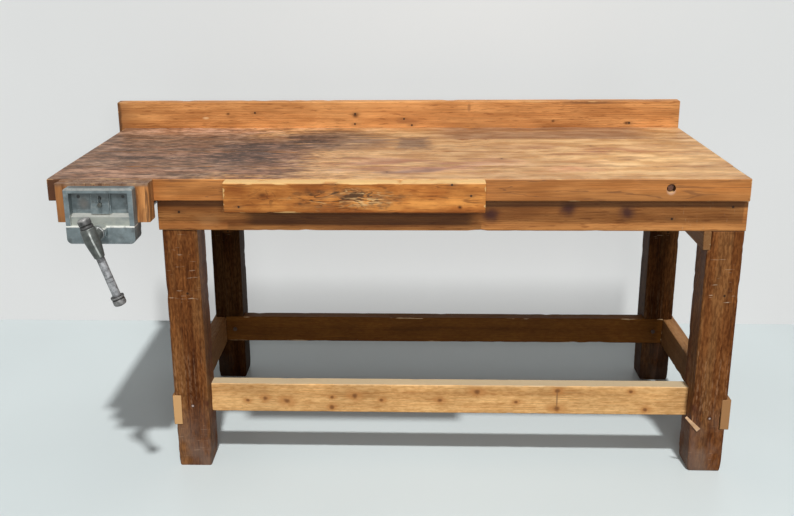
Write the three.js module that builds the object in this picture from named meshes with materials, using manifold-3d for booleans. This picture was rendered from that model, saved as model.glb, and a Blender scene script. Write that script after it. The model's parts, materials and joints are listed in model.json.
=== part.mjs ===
// A wooden workbench with a cast-iron front vise under its left end.
// Millimetres, +Z up, +X to the right along the bench, +Y from the front edge to the back.
// Sizes below are measured from the top's front left corner and from the floor.
import * as THREE from "three";
import { mergeVertices } from "three/addons/utils/BufferGeometryUtils.js";
import Module from "manifold-3d";

// Clearances
const fit = 0.3; // between two pieces that touch
const running = 0.35; // round a shaft that turns or slides in its bore

// Top
const topLength = 1829;
const topHeight = 864;
const topThickness = 60;
const plankWidths = [146, 186, 186, 186];
const arris = 2.5; // eased corner of a sawn board

// Tie bolts through the planks
const tieRadius = 4.8;
const tieInset = 203; // from each end of the top
const tieDrop = 25; // below the working surface
const counterboreRadius = 11.5;
const counterboreDepth = 18;
const tieWasherRadius = 10.2;
const tieWasherThickness = 2.5;
const tieHexRadius = 8.2;
const tieHexThickness = 7;
const tieEndProud = 3; // bolt end past its nut

// Backsplash on the back edge
const backsplashThickness = 41;
const backsplashHeight = 143;
const backsplashRise = 86; // above the working surface
const backsplashLeftProud = 22;
const backsplashRightProud = 3;
const backsplashScrewInset = 110;
const backsplashScrewCount = 4;
const woodScrewRadius = 3;
const woodScrewHeadRadius = 6.5;
const woodScrewHeadHeight = 3.5;
const woodScrewBite = 32; // length held in the piece behind
const backsplashScrewSink = 6; // head below the board's back face

// Cleat on the front edge
const cleatLeft = 473;
const cleatLength = 675;
const cleatThickness = 41.7;
const cleatHeight = 81;

// Legs
const legSize = 95;
const legArris = 4;
const leftLegX = 287;
const rightLegProud = 8; // outer face past the top's right end
const legSetback = 32; // front face behind the top's front edge

// Aprons, let into the front and rear faces of the legs
const apronThickness = 41;
const apronHeight = 90;
const apronLeftProud = 8;
const apronRightProud = 1;

// Upper side rails, housed in the inner faces of the legs
const railThickness = 20;
const railHousing = 8;
const rightRailHeight = 142;
const leftRailHeight = 88;

// Lower side stretchers, lapped into the outer faces of the legs
const sideStretcherThickness = 41;
const sideStretcherHeight = 92;
const sideStretcherHeightAboveFloor = 132;
const sideLapThickness = 25;
const leftSideProud = 6;
const rightSideProud = 10;

// Long stretchers, let into the facing sides of the legs
const longStretcherThickness = 41;
const longStretcherHeight = 88;
const frontStretcherHeightAboveFloor = 147;
const rearStretcherHeightAboveFloor = 137;
const lagRadius = 4;
const lagHexRadius = 7.4;
const lagHexThickness = 5.5;
const lagBite = 36;

// Vise: where it sits, and its three parallel axes
const viseCentreX = 160;
const screwDrop = 117; // below the working surface
const screwRadius = 11;
const guideRadius = 9.5;
const guideSpacing = 120;
const jawTravel = 178;

// Vise: wooden jaw liners
const linerWidth = 244;
const linerHeight = 104;
const rearLinerThickness = 22.4;
const frontLinerThickness = 26;
const linerScrewInset = 15; // from each end of the liner
const linerScrewDrop = 31; // below the working surface
const jawScrewInset = 24; // from each side of the casting
const jawScrewDrop = 88;

// Vise: front jaw casting
const jawWidth = 178;
const jawThickness = 31;
const jawTopDrop = 6; // below the working surface
const jawBottomDrop = 35; // below the screw
const jawCornerRadius = 6;
const jawBottomCornerRadius = 13;
const jawBoxTop = 12; // top of the deep lower box, above the screw
const jawBoxProud = 2;
const jawBoxBackOverhang = 23; // how far the lower box reaches back under the liner
const trayBorder = 13;
const trayTopBorder = 12;
const trayDepth = 22;
const trayHeight = 59;
const ledgeSlope = 5; // fall of the ledge between the tray floor and the blank band
const bandSetBack = 7; // blank band below the tray, behind the casting's front
const bandHeight = 28;
const bandSlope = 2.5;
const jawBossRadius = 20;
const jawBossLength = 17;
const guideSocketWall = 10; // iron left in front of a guide rod
const jawScrewReach = 14;

// Vise: sliding dog in the front jaw
const dogWidth = 46;
const dogThickness = 8;
const dogTopGap = 1;
const dogGuideWidth = 4;
const dogGuideDepth = 6;
const dogSlotWidth = 8;
const dogSlotDrop = 24; // upper end of the slot, below the dog's top edge
const knobRadius = 6;
const knobLength = 8;
const knobShankRadius = 2.5;
const knobRise = 25; // above the dog's lower edge, at the lower end of the slot

// Vise: fixed body under the top
const bodyTop = 43; // above the screw
const bodyPlateThickness = 16;
const bodyBottomDrop = 30;
const bodyFlangeThickness = 10;
const bodyFlangeDepth = 150;
const guideTubeRadius = 17;
const guideTubeLength = 116;
const bodyWeb = 9;
const screwClear = 2; // round the screw where nothing bears on it
const nutRadius = 17;
const nutFlangeRadius = 22;
const nutFlangeThickness = 6;
const nutLength = 32;
const nutHousingRadius = 25;
const bodyLagClear = 2.1; // between a lag screw's head and the web beside it
const bodyLagInset = 12; // from the flange's side
const bodyLagFront = 34;
const bodyLagBack = 126;
const packingInset = 2;

// Vise: rear yoke that ties the guide rods together
const yokeWidth = 164;
const yokeHeight = 42;
const yokeThickness = 12;
const yokeCornerRadius = 14;
const yokeClear = 10; // left between the nut and the yoke with the jaw wide open
const guideEndRadius = 6;
const yokeHexRadius = 10.5;
const yokeHexThickness = 10;
const guideEndProud = 4;

// Vise: lead screw fittings
const garterThickness = 6; // forked plate in the jaw that holds the screw by its groove
const garterWidth = 34;
const garterTop = 7;
const garterCover = 8; // iron left behind the plate
const screwGrooveRadius = 8.5;
const screwShoulderRadius = 17;
const screwShoulderLength = 8;
const screwTailProud = 8; // screw past the yoke

// Vise: handle
const handleTilt = 18.5; // degrees, top leaning to the left
const hubReach = 42; // bar's axis in front of the screw's shoulder
const hubNeckRadius = 16;
const hubSocketDepth = 17;
const hubTop = 29; // above the screw, along the bar
const hubBottom = 52; // below the screw
const hubTopRadius = 19;
const hubMiddleRadius = 21;
const hubBottomRadius = 13.5;
const pipeRadius = 10.65;
const pipeBoreRadius = 7.9;
const capRadius = 16.5;
const capRimRadius = 17.2;
const capLength = 27;
const capCrown = 5;
const capRimHeight = 6;
const castEase = 2; // softened edge of a casting
const capSocketDepth = 17;
const handleTravel = 107;

const roundSides = 24;
const smallSides = 12;
const hexSides = 6;
const past = 1; // how far a cutting shape runs past the face that it opens

const wasm = await Module();
wasm.setup();

// A closed geometry as a solid that can be joined and cut.
function solid(geometry) {
  const bare = geometry.clone();
  bare.deleteAttribute("normal");
  bare.deleteAttribute("uv");
  const merged = mergeVertices(bare, 1e-4);
  const corners = merged.index.array;
  const triangles = [];
  for (let i = 0; i < corners.length; i += 3) {
    const [a, b, c] = corners.slice(i, i + 3);
    if (a !== b && b !== c && c !== a) triangles.push(a, b, c);
  }
  return new wasm.Manifold(
    new wasm.Mesh({
      numProp: 3,
      vertProperties: new Float32Array(merged.attributes.position.array),
      triVerts: new Uint32Array(triangles),
    }),
  );
}

function join(...pieces) {
  return pieces.reduce((sum, next) => sum.add(next));
}

function cut(body, ...tools) {
  return tools.reduce((left, tool) => left.subtract(tool), body);
}

// The two axes of an outline, then the axis that it is drawn out along.
function outlineAxes(along) {
  const drawn = "xyz".indexOf(along);
  return [(drawn + 1) % 3, (drawn + 2) % 3, drawn];
}

// An outline, as points or a Shape, drawn out along an axis.
function prism(outline, along, from, to) {
  const isShape = outline instanceof THREE.Shape;
  const shape = isShape ? outline : new THREE.Shape(outline.map((p) => new THREE.Vector2(...p)));
  const drawn = new THREE.ExtrudeGeometry(shape, { depth: to - from, bevelEnabled: false, curveSegments: 6 });
  const unit = [new THREE.Vector3(1, 0, 0), new THREE.Vector3(0, 1, 0), new THREE.Vector3(0, 0, 1)];
  const turn = new THREE.Matrix4().makeBasis(...outlineAxes(along).map((axis) => unit[axis]));
  return solid(drawn.translate(0, 0, from).applyMatrix4(turn));
}

// A plain block between two corners.
function block(low, high) {
  const size = high.map((value, axis) => value - low[axis]);
  const middle = high.map((value, axis) => (value + low[axis]) / 2);
  return solid(new THREE.BoxGeometry(...size).translate(...middle));
}

// A sawn board between two corners, with the four long edges eased.
function board(low, high, along, ease = arris) {
  const [u, v, w] = outlineAxes(along);
  const outline = [
    [low[u] + ease, low[v]],
    [high[u] - ease, low[v]],
    [high[u], low[v] + ease],
    [high[u], high[v] - ease],
    [high[u] - ease, high[v]],
    [low[u] + ease, high[v]],
    [low[u], high[v] - ease],
    [low[u], low[v] + ease],
  ];
  return prism(outline, along, low[w], high[w]);
}

// A round or many-sided bar along an axis through a point.
function bar(radius, along, from, to, [x, y, z] = [0, 0, 0], sides = roundSides) {
  const made = new THREE.CylinderGeometry(radius, radius, to - from, sides).translate(0, (from + to) / 2, 0);
  if (along === "x") made.rotateZ(-Math.PI / 2);
  if (along === "z") made.rotateX(Math.PI / 2);
  const place = { x: [0, y, z], y: [x, 0, z], z: [x, y, 0] };
  return solid(made.translate(...place[along]));
}

// A slim bar, for screws, bolts and their holes.
function pin(radius, along, from, to, centre = [0, 0, 0]) {
  return bar(radius, along, from, to, centre, smallSides);
}

// A turned shape about the Z axis, from points of radius and height.
function turned(profile, sides = roundSides) {
  const points = profile.map((p) => new THREE.Vector2(...p));
  return solid(new THREE.LatheGeometry(points, sides).rotateX(Math.PI / 2));
}

// A rectangle with one radius on its upper corners and one on its lower corners.
function roundedOutline(left, right, bottom, top, upper, lower) {
  const shape = new THREE.Shape();
  shape.moveTo(left + lower, bottom);
  shape.lineTo(right - lower, bottom);
  shape.absarc(right - lower, bottom + lower, lower, -Math.PI / 2, 0);
  shape.lineTo(right, top - upper);
  shape.absarc(right - upper, top - upper, upper, 0, Math.PI / 2);
  shape.lineTo(left + upper, top);
  shape.absarc(left + upper, top - upper, upper, Math.PI / 2, Math.PI);
  shape.lineTo(left, bottom + lower);
  shape.absarc(left + lower, bottom + lower, lower, Math.PI, 1.5 * Math.PI);
  return shape;
}

const honeyPine = { color: 0xb27a3c, roughness: 0.6, metalness: 0 };
const wornTop = { color: 0x8a6242, roughness: 0.65, metalness: 0 };
const darkPine = { color: 0x6b3f24, roughness: 0.7, metalness: 0 };
const palePine = { color: 0xc79a5c, roughness: 0.6, metalness: 0 };
const paintedIron = { color: 0x6f8288, roughness: 0.5, metalness: 0.2 };
const darkIron = { color: 0x4a5350, roughness: 0.5, metalness: 0.6 };
const brightSteel = { color: 0x9a9a98, roughness: 0.35, metalness: 0.9 };

const bench = new THREE.Group();

function piece(name, made, finish, group = bench) {
  const { vertProperties, triVerts } = made.getMesh();
  const geometry = new THREE.BufferGeometry()
    .setAttribute("position", new THREE.BufferAttribute(vertProperties, 3))
    .setIndex(new THREE.BufferAttribute(triVerts, 1));
  geometry.computeVertexNormals();
  const mesh = new THREE.Mesh(geometry, new THREE.MeshStandardMaterial(finish));
  mesh.name = name;
  group.add(mesh);
}

const topDepth = plankWidths.reduce((sum, width) => sum + width, 0);
const topUnder = topHeight - topThickness;
const screwHeight = topHeight - screwDrop;
const rightLegX = topLength + rightLegProud - legSize;
const frameTop = topUnder - fit;
const frameBack = topDepth;
const tieX = [tieInset, topLength / 2, topLength - tieInset];
const tieHeight = topHeight - tieDrop;
const jointScrewBore = woodScrewRadius + fit;
const sides = [-1, 1];

// Vise stack in front of the top's edge: liner, liner, jaw.
const rearLinerFront = -fit - rearLinerThickness;
const frontLinerBack = rearLinerFront - fit;
const frontLinerFront = frontLinerBack - frontLinerThickness;
const jawBack = frontLinerFront - fit;
const jawFront = jawBack - jawThickness;

const backsplashScrewX = Array.from({ length: backsplashScrewCount }, (_, i) => {
  const span = topLength - 2 * backsplashScrewInset;
  return backsplashScrewInset + (span * i) / (backsplashScrewCount - 1);
});
const backsplashScrewHeight = topHeight - topThickness / 2;
const bodyPlateWidth = guideSpacing + 2 * guideTubeRadius;
const bodyLagReach = guideSpacing / 2 + bodyWeb / 2 + lagHexRadius + bodyLagClear;
const bodyWidth = 2 * (bodyLagReach + bodyLagInset);
const linerScrewReach = linerWidth / 2 - linerScrewInset;
const rearLinerScrewX = sides.map((side) => viseCentreX + side * linerScrewReach);
const rearLinerScrewHeight = topHeight - linerScrewDrop;
const bodyLagX = sides.map((side) => viseCentreX + side * bodyLagReach);
const bodyLagY = [bodyLagFront, bodyLagBack];

// Screws and bolts
function woodScrew(seat, length, inward) {
  const head = pin(woodScrewHeadRadius, "y", 0, woodScrewHeadHeight);
  const shank = pin(woodScrewRadius, "y", -length, woodScrewHeadHeight);
  const made = join(head, shank);
  return inward > 0 ? made.mirror([0, 1, 0]).translate(seat) : made.translate(seat);
}

function lagScrew(grip) {
  const head = bar(lagHexRadius, "z", -lagHexThickness, 0, [0, 0, 0], hexSides);
  const shank = pin(lagRadius, "z", -past, grip + lagBite);
  return join(head, shank);
}

function addTop() {
  let front = 0;
  plankWidths.forEach((width, index) => {
    const last = index === plankWidths.length - 1;
    const back = front + width - (last ? 0 : fit);
    const cuts = tieX.map((x) => pin(tieRadius + fit, "y", -past, topDepth + past, [x, 0, tieHeight]));
    const counterbore = (x, from, to) => bar(counterboreRadius, "y", from, to, [x, 0, tieHeight]);
    if (index === 0) {
      for (const x of tieX) cuts.push(counterbore(x, -past, counterboreDepth));
      for (const x of bodyLagX) {
        for (const y of bodyLagY) {
          cuts.push(pin(lagRadius + fit, "z", topUnder - past, topUnder + lagBite, [x, y, 0]));
        }
      }
      for (const x of rearLinerScrewX) {
        cuts.push(pin(jointScrewBore, "y", -past, woodScrewBite + fit, [x, 0, rearLinerScrewHeight]));
      }
    }
    if (last) {
      for (const x of tieX) cuts.push(counterbore(x, topDepth - counterboreDepth, topDepth + past));
      for (const x of backsplashScrewX) {
        const deepest = topDepth - woodScrewBite - fit;
        cuts.push(pin(jointScrewBore, "y", deepest, topDepth + past, [x, 0, backsplashScrewHeight]));
      }
    }
    const plank = board([0, front, topUnder], [topLength, back, topHeight], "x");
    piece(`top_plank_${index + 1}`, cut(plank, ...cuts), wornTop);
    front += width;
  });

  tieX.forEach((x, index) => {
    const centre = [x, 0, tieHeight];
    const headSeat = counterboreDepth - fit;
    const nutSeat = topDepth - counterboreDepth + fit;
    const headFace = headSeat - tieWasherThickness;
    const nutFace = nutSeat + tieWasherThickness;
    const boltEnd = nutFace + tieHexThickness + tieEndProud;
    const bolt = join(
      pin(tieRadius, "y", headFace, boltEnd, centre),
      bar(tieWasherRadius, "y", headFace, headSeat, centre),
      bar(tieHexRadius, "y", headFace - tieHexThickness, headFace, centre, hexSides),
    );
    const nut = cut(
      join(
        bar(tieWasherRadius, "y", nutSeat, nutFace, centre),
        bar(tieHexRadius, "y", nutFace, nutFace + tieHexThickness, centre, hexSides),
      ),
      pin(tieRadius + fit, "y", nutSeat - past, boltEnd, centre),
    );
    piece(`tie_bolt_${index + 1}`, bolt, brightSteel);
    piece(`tie_nut_${index + 1}`, nut, brightSteel);
  });
}

function addEdgeBoards() {
  const backTop = topHeight + backsplashRise;
  const backFace = topDepth + fit + backsplashThickness;
  const splash = board(
    [-backsplashLeftProud, topDepth + fit, backTop - backsplashHeight],
    [topLength + backsplashRightProud, backFace, backTop],
    "x",
  );
  const headSeat = backFace - backsplashScrewSink;
  const bores = backsplashScrewX.flatMap((x) => {
    const centre = [x, 0, backsplashScrewHeight];
    return [
      pin(jointScrewBore, "y", topDepth - past, backFace + past, centre),
      pin(woodScrewHeadRadius + fit, "y", headSeat, backFace + past, centre),
    ];
  });
  piece("backsplash", cut(splash, ...bores), honeyPine);
  backsplashScrewX.forEach((x, index) => {
    const seat = [x, headSeat + fit, backsplashScrewHeight];
    const length = seat[1] - topDepth + woodScrewBite;
    piece(`backsplash_screw_${index + 1}`, woodScrew(seat, length, -1), darkIron);
  });

  const cleat = board(
    [cleatLeft, -fit - cleatThickness, topHeight - cleatHeight],
    [cleatLeft + cleatLength, -fit, topHeight],
    "x",
  );
  piece("front_cleat", cleat, palePine);
}

// The under-frame is laid out once for the left side and once for the right.
const frontLegY = [legSetback, legSetback + legSize];
const rearLegY = [frameBack - legSize, frameBack];
const apronBottom = frameTop - apronHeight;
const frameSides = [
  { name: "left", x: leftLegX, outward: -1, railHeight: leftRailHeight, proud: leftSideProud },
  { name: "right", x: rightLegX, outward: 1, railHeight: rightRailHeight, proud: rightSideProud },
];

// Where things lie across one side of the frame, from its outer face to its inner one.
function sidePlan({ x, outward, proud }) {
  const outer = outward < 0 ? x : x + legSize;
  const inner = outward < 0 ? x + legSize : x;
  const stretcherOuter = outer + outward * proud;
  const stretcherInner = stretcherOuter - outward * sideStretcherThickness;
  const lapInner = stretcherOuter - outward * sideLapThickness;
  const railOuter = inner + outward * railHousing;
  const railInner = railOuter - outward * railThickness;
  return { outer, inner, stretcherOuter, stretcherInner, lapInner, railOuter, railInner };
}

function span(a, b) {
  return a < b ? [a, b] : [b, a];
}

// A block given by a span on each axis.
function blockOf(xs, ys, zs) {
  return block([xs[0], ys[0], zs[0]], [xs[1], ys[1], zs[1]]);
}

const stretcherSpots = {
  front: {
    ys: [frontLegY[1] - longStretcherThickness, frontLegY[1]],
    bottom: frontStretcherHeightAboveFloor,
    face: frontLegY[1],
    inward: -1,
  },
  rear: {
    ys: [rearLegY[0], rearLegY[0] + longStretcherThickness],
    bottom: rearStretcherHeightAboveFloor,
    face: rearLegY[0],
    inward: 1,
  },
};

// A lag screw through a long stretcher into its leg, from the open side.
function stretcherLagX(side) {
  const { inner, stretcherInner } = sidePlan(side);
  return (inner + stretcherInner) / 2;
}

function addLegs() {
  for (const side of frameSides) {
    const plan = sidePlan(side);
    for (const [end, ys] of Object.entries({ front: frontLegY, rear: rearLegY })) {
      const spot = stretcherSpots[end];
      const wide = [side.x - past, side.x + legSize + past];
      const isFront = end === "front";
      const frontApron = [ys[0] - past, ys[0] + apronThickness + fit];
      const rearApron = [ys[1] - apronThickness - fit, ys[1] + past];
      const apronYs = isFront ? frontApron : rearApron;
      const notchYs = isFront ? [spot.ys[0] - fit, ys[1] + past] : [ys[0] - past, spot.ys[1] + fit];
      const outside = plan.outer + side.outward;
      const inside = plan.inner - side.outward;
      const lapNotch = blockOf(
        span(outside, plan.lapInner - side.outward * fit),
        [ys[0] - past, ys[1] + past],
        [sideStretcherHeightAboveFloor - fit, sideStretcherHeightAboveFloor + sideStretcherHeight + fit],
      );
      const railGroove = blockOf(
        span(inside, plan.railOuter + side.outward * fit),
        [ys[0] - past, ys[1] + past],
        [frameTop - side.railHeight - fit, frameTop + past],
      );
      const stretcherNotch = blockOf(span(inside, plan.stretcherInner), notchYs, [
        spot.bottom - fit,
        spot.bottom + longStretcherHeight + fit,
      ]);
      const lagFrom = isFront ? spot.ys[0] - lagBite - fit : spot.ys[1] - past;
      const lagTo = isFront ? spot.ys[0] + past : spot.ys[1] + lagBite + fit;
      const lagHeight = spot.bottom + longStretcherHeight / 2;
      const made = cut(
        board([side.x, ys[0], 0], [side.x + legSize, ys[1], frameTop], "z", legArris),
        blockOf(wide, apronYs, [apronBottom - fit, frameTop + past]),
        lapNotch,
        railGroove,
        stretcherNotch,
        pin(lagRadius + fit, "y", lagFrom, lagTo, [stretcherLagX(side), 0, lagHeight]),
      );
      piece(`${end}_${side.name}_leg`, made, darkPine);
    }
  }
}

function addAprons() {
  const left = leftLegX - apronLeftProud;
  const right = rightLegX + legSize + apronRightProud;
  const places = {
    front: [frontLegY[0], frontLegY[0] + apronThickness],
    rear: [rearLegY[1] - apronThickness, rearLegY[1]],
  };
  for (const [end, ys] of Object.entries(places)) {
    piece(`${end}_apron`, board([left, ys[0], apronBottom], [right, ys[1], frameTop], "x"), darkPine);
  }
}

// A rail runs the full depth below the aprons and stops between them above.
function addUpperRails() {
  for (const side of frameSides) {
    const plan = sidePlan(side);
    const xs = span(plan.railOuter, plan.railInner);
    const between = [frontLegY[0] + apronThickness + fit, rearLegY[1] - apronThickness - fit];
    const bottom = frameTop - side.railHeight;
    const upper = blockOf(xs, between, [Math.max(bottom, apronBottom - fit), frameTop]);
    const name = `${side.name}_upper_rail`;
    if (bottom < apronBottom - fit) {
      const lower = blockOf(xs, [frontLegY[0], rearLegY[1]], [bottom, apronBottom - fit]);
      piece(name, join(upper, lower), honeyPine);
    } else {
      piece(name, upper, honeyPine);
    }
  }
}

// A side stretcher is full thickness between the legs and a bare-faced lap across each of them.
function addSideStretchers() {
  for (const side of frameSides) {
    const plan = sidePlan(side);
    const outline = [
      [plan.stretcherOuter, frontLegY[0]],
      [plan.lapInner, frontLegY[0]],
      [plan.lapInner, frontLegY[1] + fit],
      [plan.stretcherInner, frontLegY[1] + fit],
      [plan.stretcherInner, rearLegY[0] - fit],
      [plan.lapInner, rearLegY[0] - fit],
      [plan.lapInner, rearLegY[1]],
      [plan.stretcherOuter, rearLegY[1]],
    ];
    const bottom = sideStretcherHeightAboveFloor;
    piece(`${side.name}_side_stretcher`, prism(outline, "z", bottom, bottom + sideStretcherHeight), palePine);
  }
}

function addLongStretchers() {
  const [left, right] = frameSides;
  for (const [end, spot] of Object.entries(stretcherSpots)) {
    const from = sidePlan(left).stretcherInner + fit;
    const to = sidePlan(right).stretcherInner - fit;
    const middle = spot.bottom + longStretcherHeight / 2;
    const top = spot.bottom + longStretcherHeight;
    const body = board([from, spot.ys[0], spot.bottom], [to, spot.ys[1], top], "x");
    const bores = frameSides.map((side) =>
      pin(lagRadius + fit, "y", spot.ys[0] - past, spot.ys[1] + past, [stretcherLagX(side), 0, middle]),
    );
    piece(`${end}_stretcher`, cut(body, ...bores), end === "front" ? palePine : honeyPine);
    for (const side of frameSides) {
      const pose = new THREE.Matrix4().makeRotationX((-spot.inward * Math.PI) / 2);
      pose.setPosition(stretcherLagX(side), spot.face - spot.inward * fit, middle);
      const screw = lagScrew(longStretcherThickness + fit).transform(pose.elements);
      piece(`${end}_${side.name}_lag_screw`, screw, darkIron);
    }
  }
}

// The vise is modelled about its screw. The group's origin is where the screw passes the top's front edge.
const vise = new THREE.Group();
vise.position.set(viseCentreX, 0, screwHeight);
bench.add(vise);

const surface = topHeight - screwHeight;
const underside = topUnder - screwHeight;
const linerBottom = surface - linerHeight;
const jawTop = surface - jawTopDrop;
const jawBottom = -jawBottomDrop;
const boxBack = jawBack + jawBoxBackOverhang;
const boxFront = jawFront - jawBoxProud;
const bossFront = boxFront - jawBossLength;
const guideSocketFront = jawFront + guideSocketWall;
const guideX = sides.map((side) => (side * guideSpacing) / 2);
const jawScrewX = sides.map((side) => side * (jawWidth / 2 - jawScrewInset));
const jawScrewHeight = surface - jawScrewDrop;

function addFixedVise() {
  const half = bodyWidth / 2;
  const plateHalf = bodyPlateWidth / 2;
  const plate = prism(
    roundedOutline(-plateHalf, plateHalf, -bodyBottomDrop, bodyTop, jawCornerRadius, jawBottomCornerRadius),
    "z",
    -bodyPlateThickness,
    -fit,
  ).rotate([90, 0, 0]);
  const flangeBottom = bodyTop - bodyFlangeThickness;
  const flange = block([-half, fit, flangeBottom], [half, bodyFlangeDepth, bodyTop]);
  const tubes = guideX.map((x) => bar(guideTubeRadius, "y", fit, guideTubeLength, [x, 0, 0]));
  const webs = [
    { x: guideX[0], reach: bodyFlangeDepth },
    { x: guideX[1], reach: bodyFlangeDepth },
    { x: 0, reach: guideTubeLength },
  ].map(({ x, reach }) => {
    const outline = [
      [fit, 0],
      [guideTubeLength, 0],
      [guideTubeLength, guideTubeRadius],
      [reach, flangeBottom],
      [reach, bodyTop],
      [fit, bodyTop],
    ];
    return prism(outline, "x", x - bodyWeb / 2, x + bodyWeb / 2);
  });
  const nutBack = guideTubeLength;
  const nutFront = nutBack - nutLength;
  const housing = bar(nutHousingRadius, "y", nutFront, nutBack);
  const lagHoles = sides.flatMap((side) =>
    bodyLagY.map((y) =>
      pin(lagRadius + fit, "z", flangeBottom - past, bodyTop + past, [side * bodyLagReach, y, 0]),
    ),
  );
  const made = cut(
    join(plate, flange, housing, ...tubes, ...webs),
    ...guideX.map((x) => bar(guideRadius + running, "y", -past, guideTubeLength + past, [x, 0, 0])),
    bar(screwRadius + screwClear, "y", -past, bodyFlangeDepth + past),
    bar(nutRadius + fit, "y", nutFront - past, nutBack + past),
    ...lagHoles,
  );
  piece("vise_body", made, paintedIron, vise);

  const flangeFace = nutBack + fit;
  const nut = cut(
    join(
      bar(nutRadius, "y", nutFront, flangeFace + nutFlangeThickness),
      bar(nutFlangeRadius, "y", flangeFace, flangeFace + nutFlangeThickness),
    ),
    bar(screwRadius + running, "y", nutFront - past, flangeFace + nutFlangeThickness + past),
  );
  piece("vise_nut", nut, brightSteel, vise);

  const packing = cut(
    block([-half, packingInset, bodyTop + fit], [half, bodyFlangeDepth, underside - fit]),
    ...sides.flatMap((side) =>
      bodyLagY.map((y) =>
        pin(lagRadius + fit, "z", bodyTop - past, underside + past, [side * bodyLagReach, y, 0]),
      ),
    ),
  );
  piece("packing_block", packing, honeyPine, vise);

  const grip = underside - flangeBottom;
  for (const [sideName, side] of [["left", -1], ["right", 1]]) {
    for (const [endName, y] of [["front", bodyLagFront], ["rear", bodyLagBack]]) {
      const seat = [side * bodyLagReach, y, flangeBottom - fit];
      const screw = lagScrew(grip - 2 * fit).translate(seat);
      piece(`vise_lag_screw_${endName}_${sideName}`, screw, darkIron, vise);
    }
  }
}

// Both liners are planks across the jaw, held by screws sunk into their meeting faces.
function liner(front, back, screwX, screwZ) {
  const half = linerWidth / 2;
  const plank = board([-half, front, linerBottom], [half, back, surface], "z");
  const bores = screwX.map((x) => pin(jointScrewBore, "y", front - past, back + past, [x, 0, screwZ]));
  return cut(plank, ...bores);
}

function addLiners() {
  const headSink = woodScrewHeadHeight + 2 * fit;
  const rearX = sides.map((side) => side * linerScrewReach);
  const rearZ = rearLinerScrewHeight - screwHeight;
  const rearSinks = rearX.map((x) =>
    pin(woodScrewHeadRadius + fit, "y", rearLinerFront - past, rearLinerFront + headSink, [x, 0, rearZ]),
  );
  piece("rear_jaw_liner", cut(liner(rearLinerFront, -fit, rearX, rearZ), ...rearSinks), honeyPine, vise);
  const frontSinks = jawScrewX.map((x) => {
    const centre = [x, 0, jawScrewHeight];
    return pin(woodScrewHeadRadius + fit, "y", frontLinerBack - headSink, frontLinerBack + past, centre);
  });
  const front = liner(frontLinerFront, frontLinerBack, jawScrewX, jawScrewHeight);
  piece("front_jaw_liner", cut(front, ...frontSinks), honeyPine, vise);

  ["left", "right"].forEach((name, index) => {
    const rearSeat = [rearX[index], rearLinerFront + headSink - fit, rearZ];
    const rearLength = rearLinerThickness - headSink + 2 * fit + woodScrewBite - fit;
    piece(`rear_liner_screw_${name}`, woodScrew(rearSeat, rearLength, 1), brightSteel, vise);
    const frontSeat = [jawScrewX[index], frontLinerBack - headSink + fit, jawScrewHeight];
    const frontLength = frontLinerThickness - headSink + 2 * fit + jawScrewReach - fit;
    piece(`front_liner_screw_${name}`, woodScrew(frontSeat, frontLength, -1), brightSteel, vise);
  });
}

const garterBack = boxBack - garterCover;
const garterFront = garterBack - garterThickness;
const trayTop = jawTop - trayTopBorder;
const trayBottom = trayTop - trayHeight;
const trayFloor = jawFront + trayDepth;
const dogFront = trayFloor - fit - dogThickness;
const dogBottom = trayBottom + fit;
const dogTop = jawTop - dogTopGap;

function addFrontJaw() {
  const half = jawWidth / 2;
  const section = [
    [boxBack, jawBottom],
    [boxBack, Math.min(jawBoxTop, linerBottom - fit)],
    [jawBack, Math.min(jawBoxTop, linerBottom - fit)],
    [jawBack, jawTop],
    [jawFront, jawTop],
    [jawFront, jawBoxTop],
    [boxFront, jawBoxTop - jawBoxProud],
    [boxFront, jawBottom],
  ];
  const outline = roundedOutline(-half, half, jawBottom, jawTop, jawCornerRadius, jawBottomCornerRadius);
  const silhouette = prism(outline, "z", -boxBack - past, -boxFront + past).rotate([90, 0, 0]);
  const casting = prism(section, "x", -half - past, half + past).intersect(silhouette);
  const bandBottom = trayBottom - bandHeight;
  const traySection = [
    [trayFloor, trayTop],
    [trayFloor, trayBottom],
    [jawFront + bandSetBack, trayBottom - ledgeSlope],
    [jawFront + bandSetBack - bandSlope, bandBottom],
    [jawFront - past, bandBottom],
    [jawFront - past, trayTop],
  ];
  const tray = prism(traySection, "x", -half + trayBorder, half - trayBorder);
  const guideHalf = dogWidth / 2 + running;
  const guides = sides.map((side) => {
    const xs = span(side * guideHalf, side * (guideHalf + dogGuideWidth));
    return blockOf(xs, [trayFloor - dogGuideDepth, trayFloor + past], [trayBottom - past, trayTop + past]);
  });
  const slot = block(
    [-guideHalf, dogFront - running, trayTop - past],
    [guideHalf, trayFloor, jawTop + past],
  );
  const boss = bar(jawBossRadius, "y", bossFront, boxFront + past);
  const garterHalf = garterWidth / 2 + fit;
  const garterSlot = blockOf(
    [-garterHalf, garterHalf],
    [garterFront - fit, garterBack + fit],
    [jawBottom - past, garterTop + fit],
  );
  const made = cut(
    join(cut(casting, tray), ...guides, boss),
    slot,
    garterSlot,
    bar(screwRadius + running, "y", bossFront - past, boxBack + past),
    ...guideX.map((x) => bar(guideRadius + fit, "y", guideSocketFront, boxBack + past, [x, 0, 0])),
    ...jawScrewX.map((x) =>
      pin(jointScrewBore, "y", jawBack - jawScrewReach - fit, jawBack + past, [x, 0, jawScrewHeight]),
    ),
  );
  piece("front_jaw", made, paintedIron, vise);
}

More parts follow.
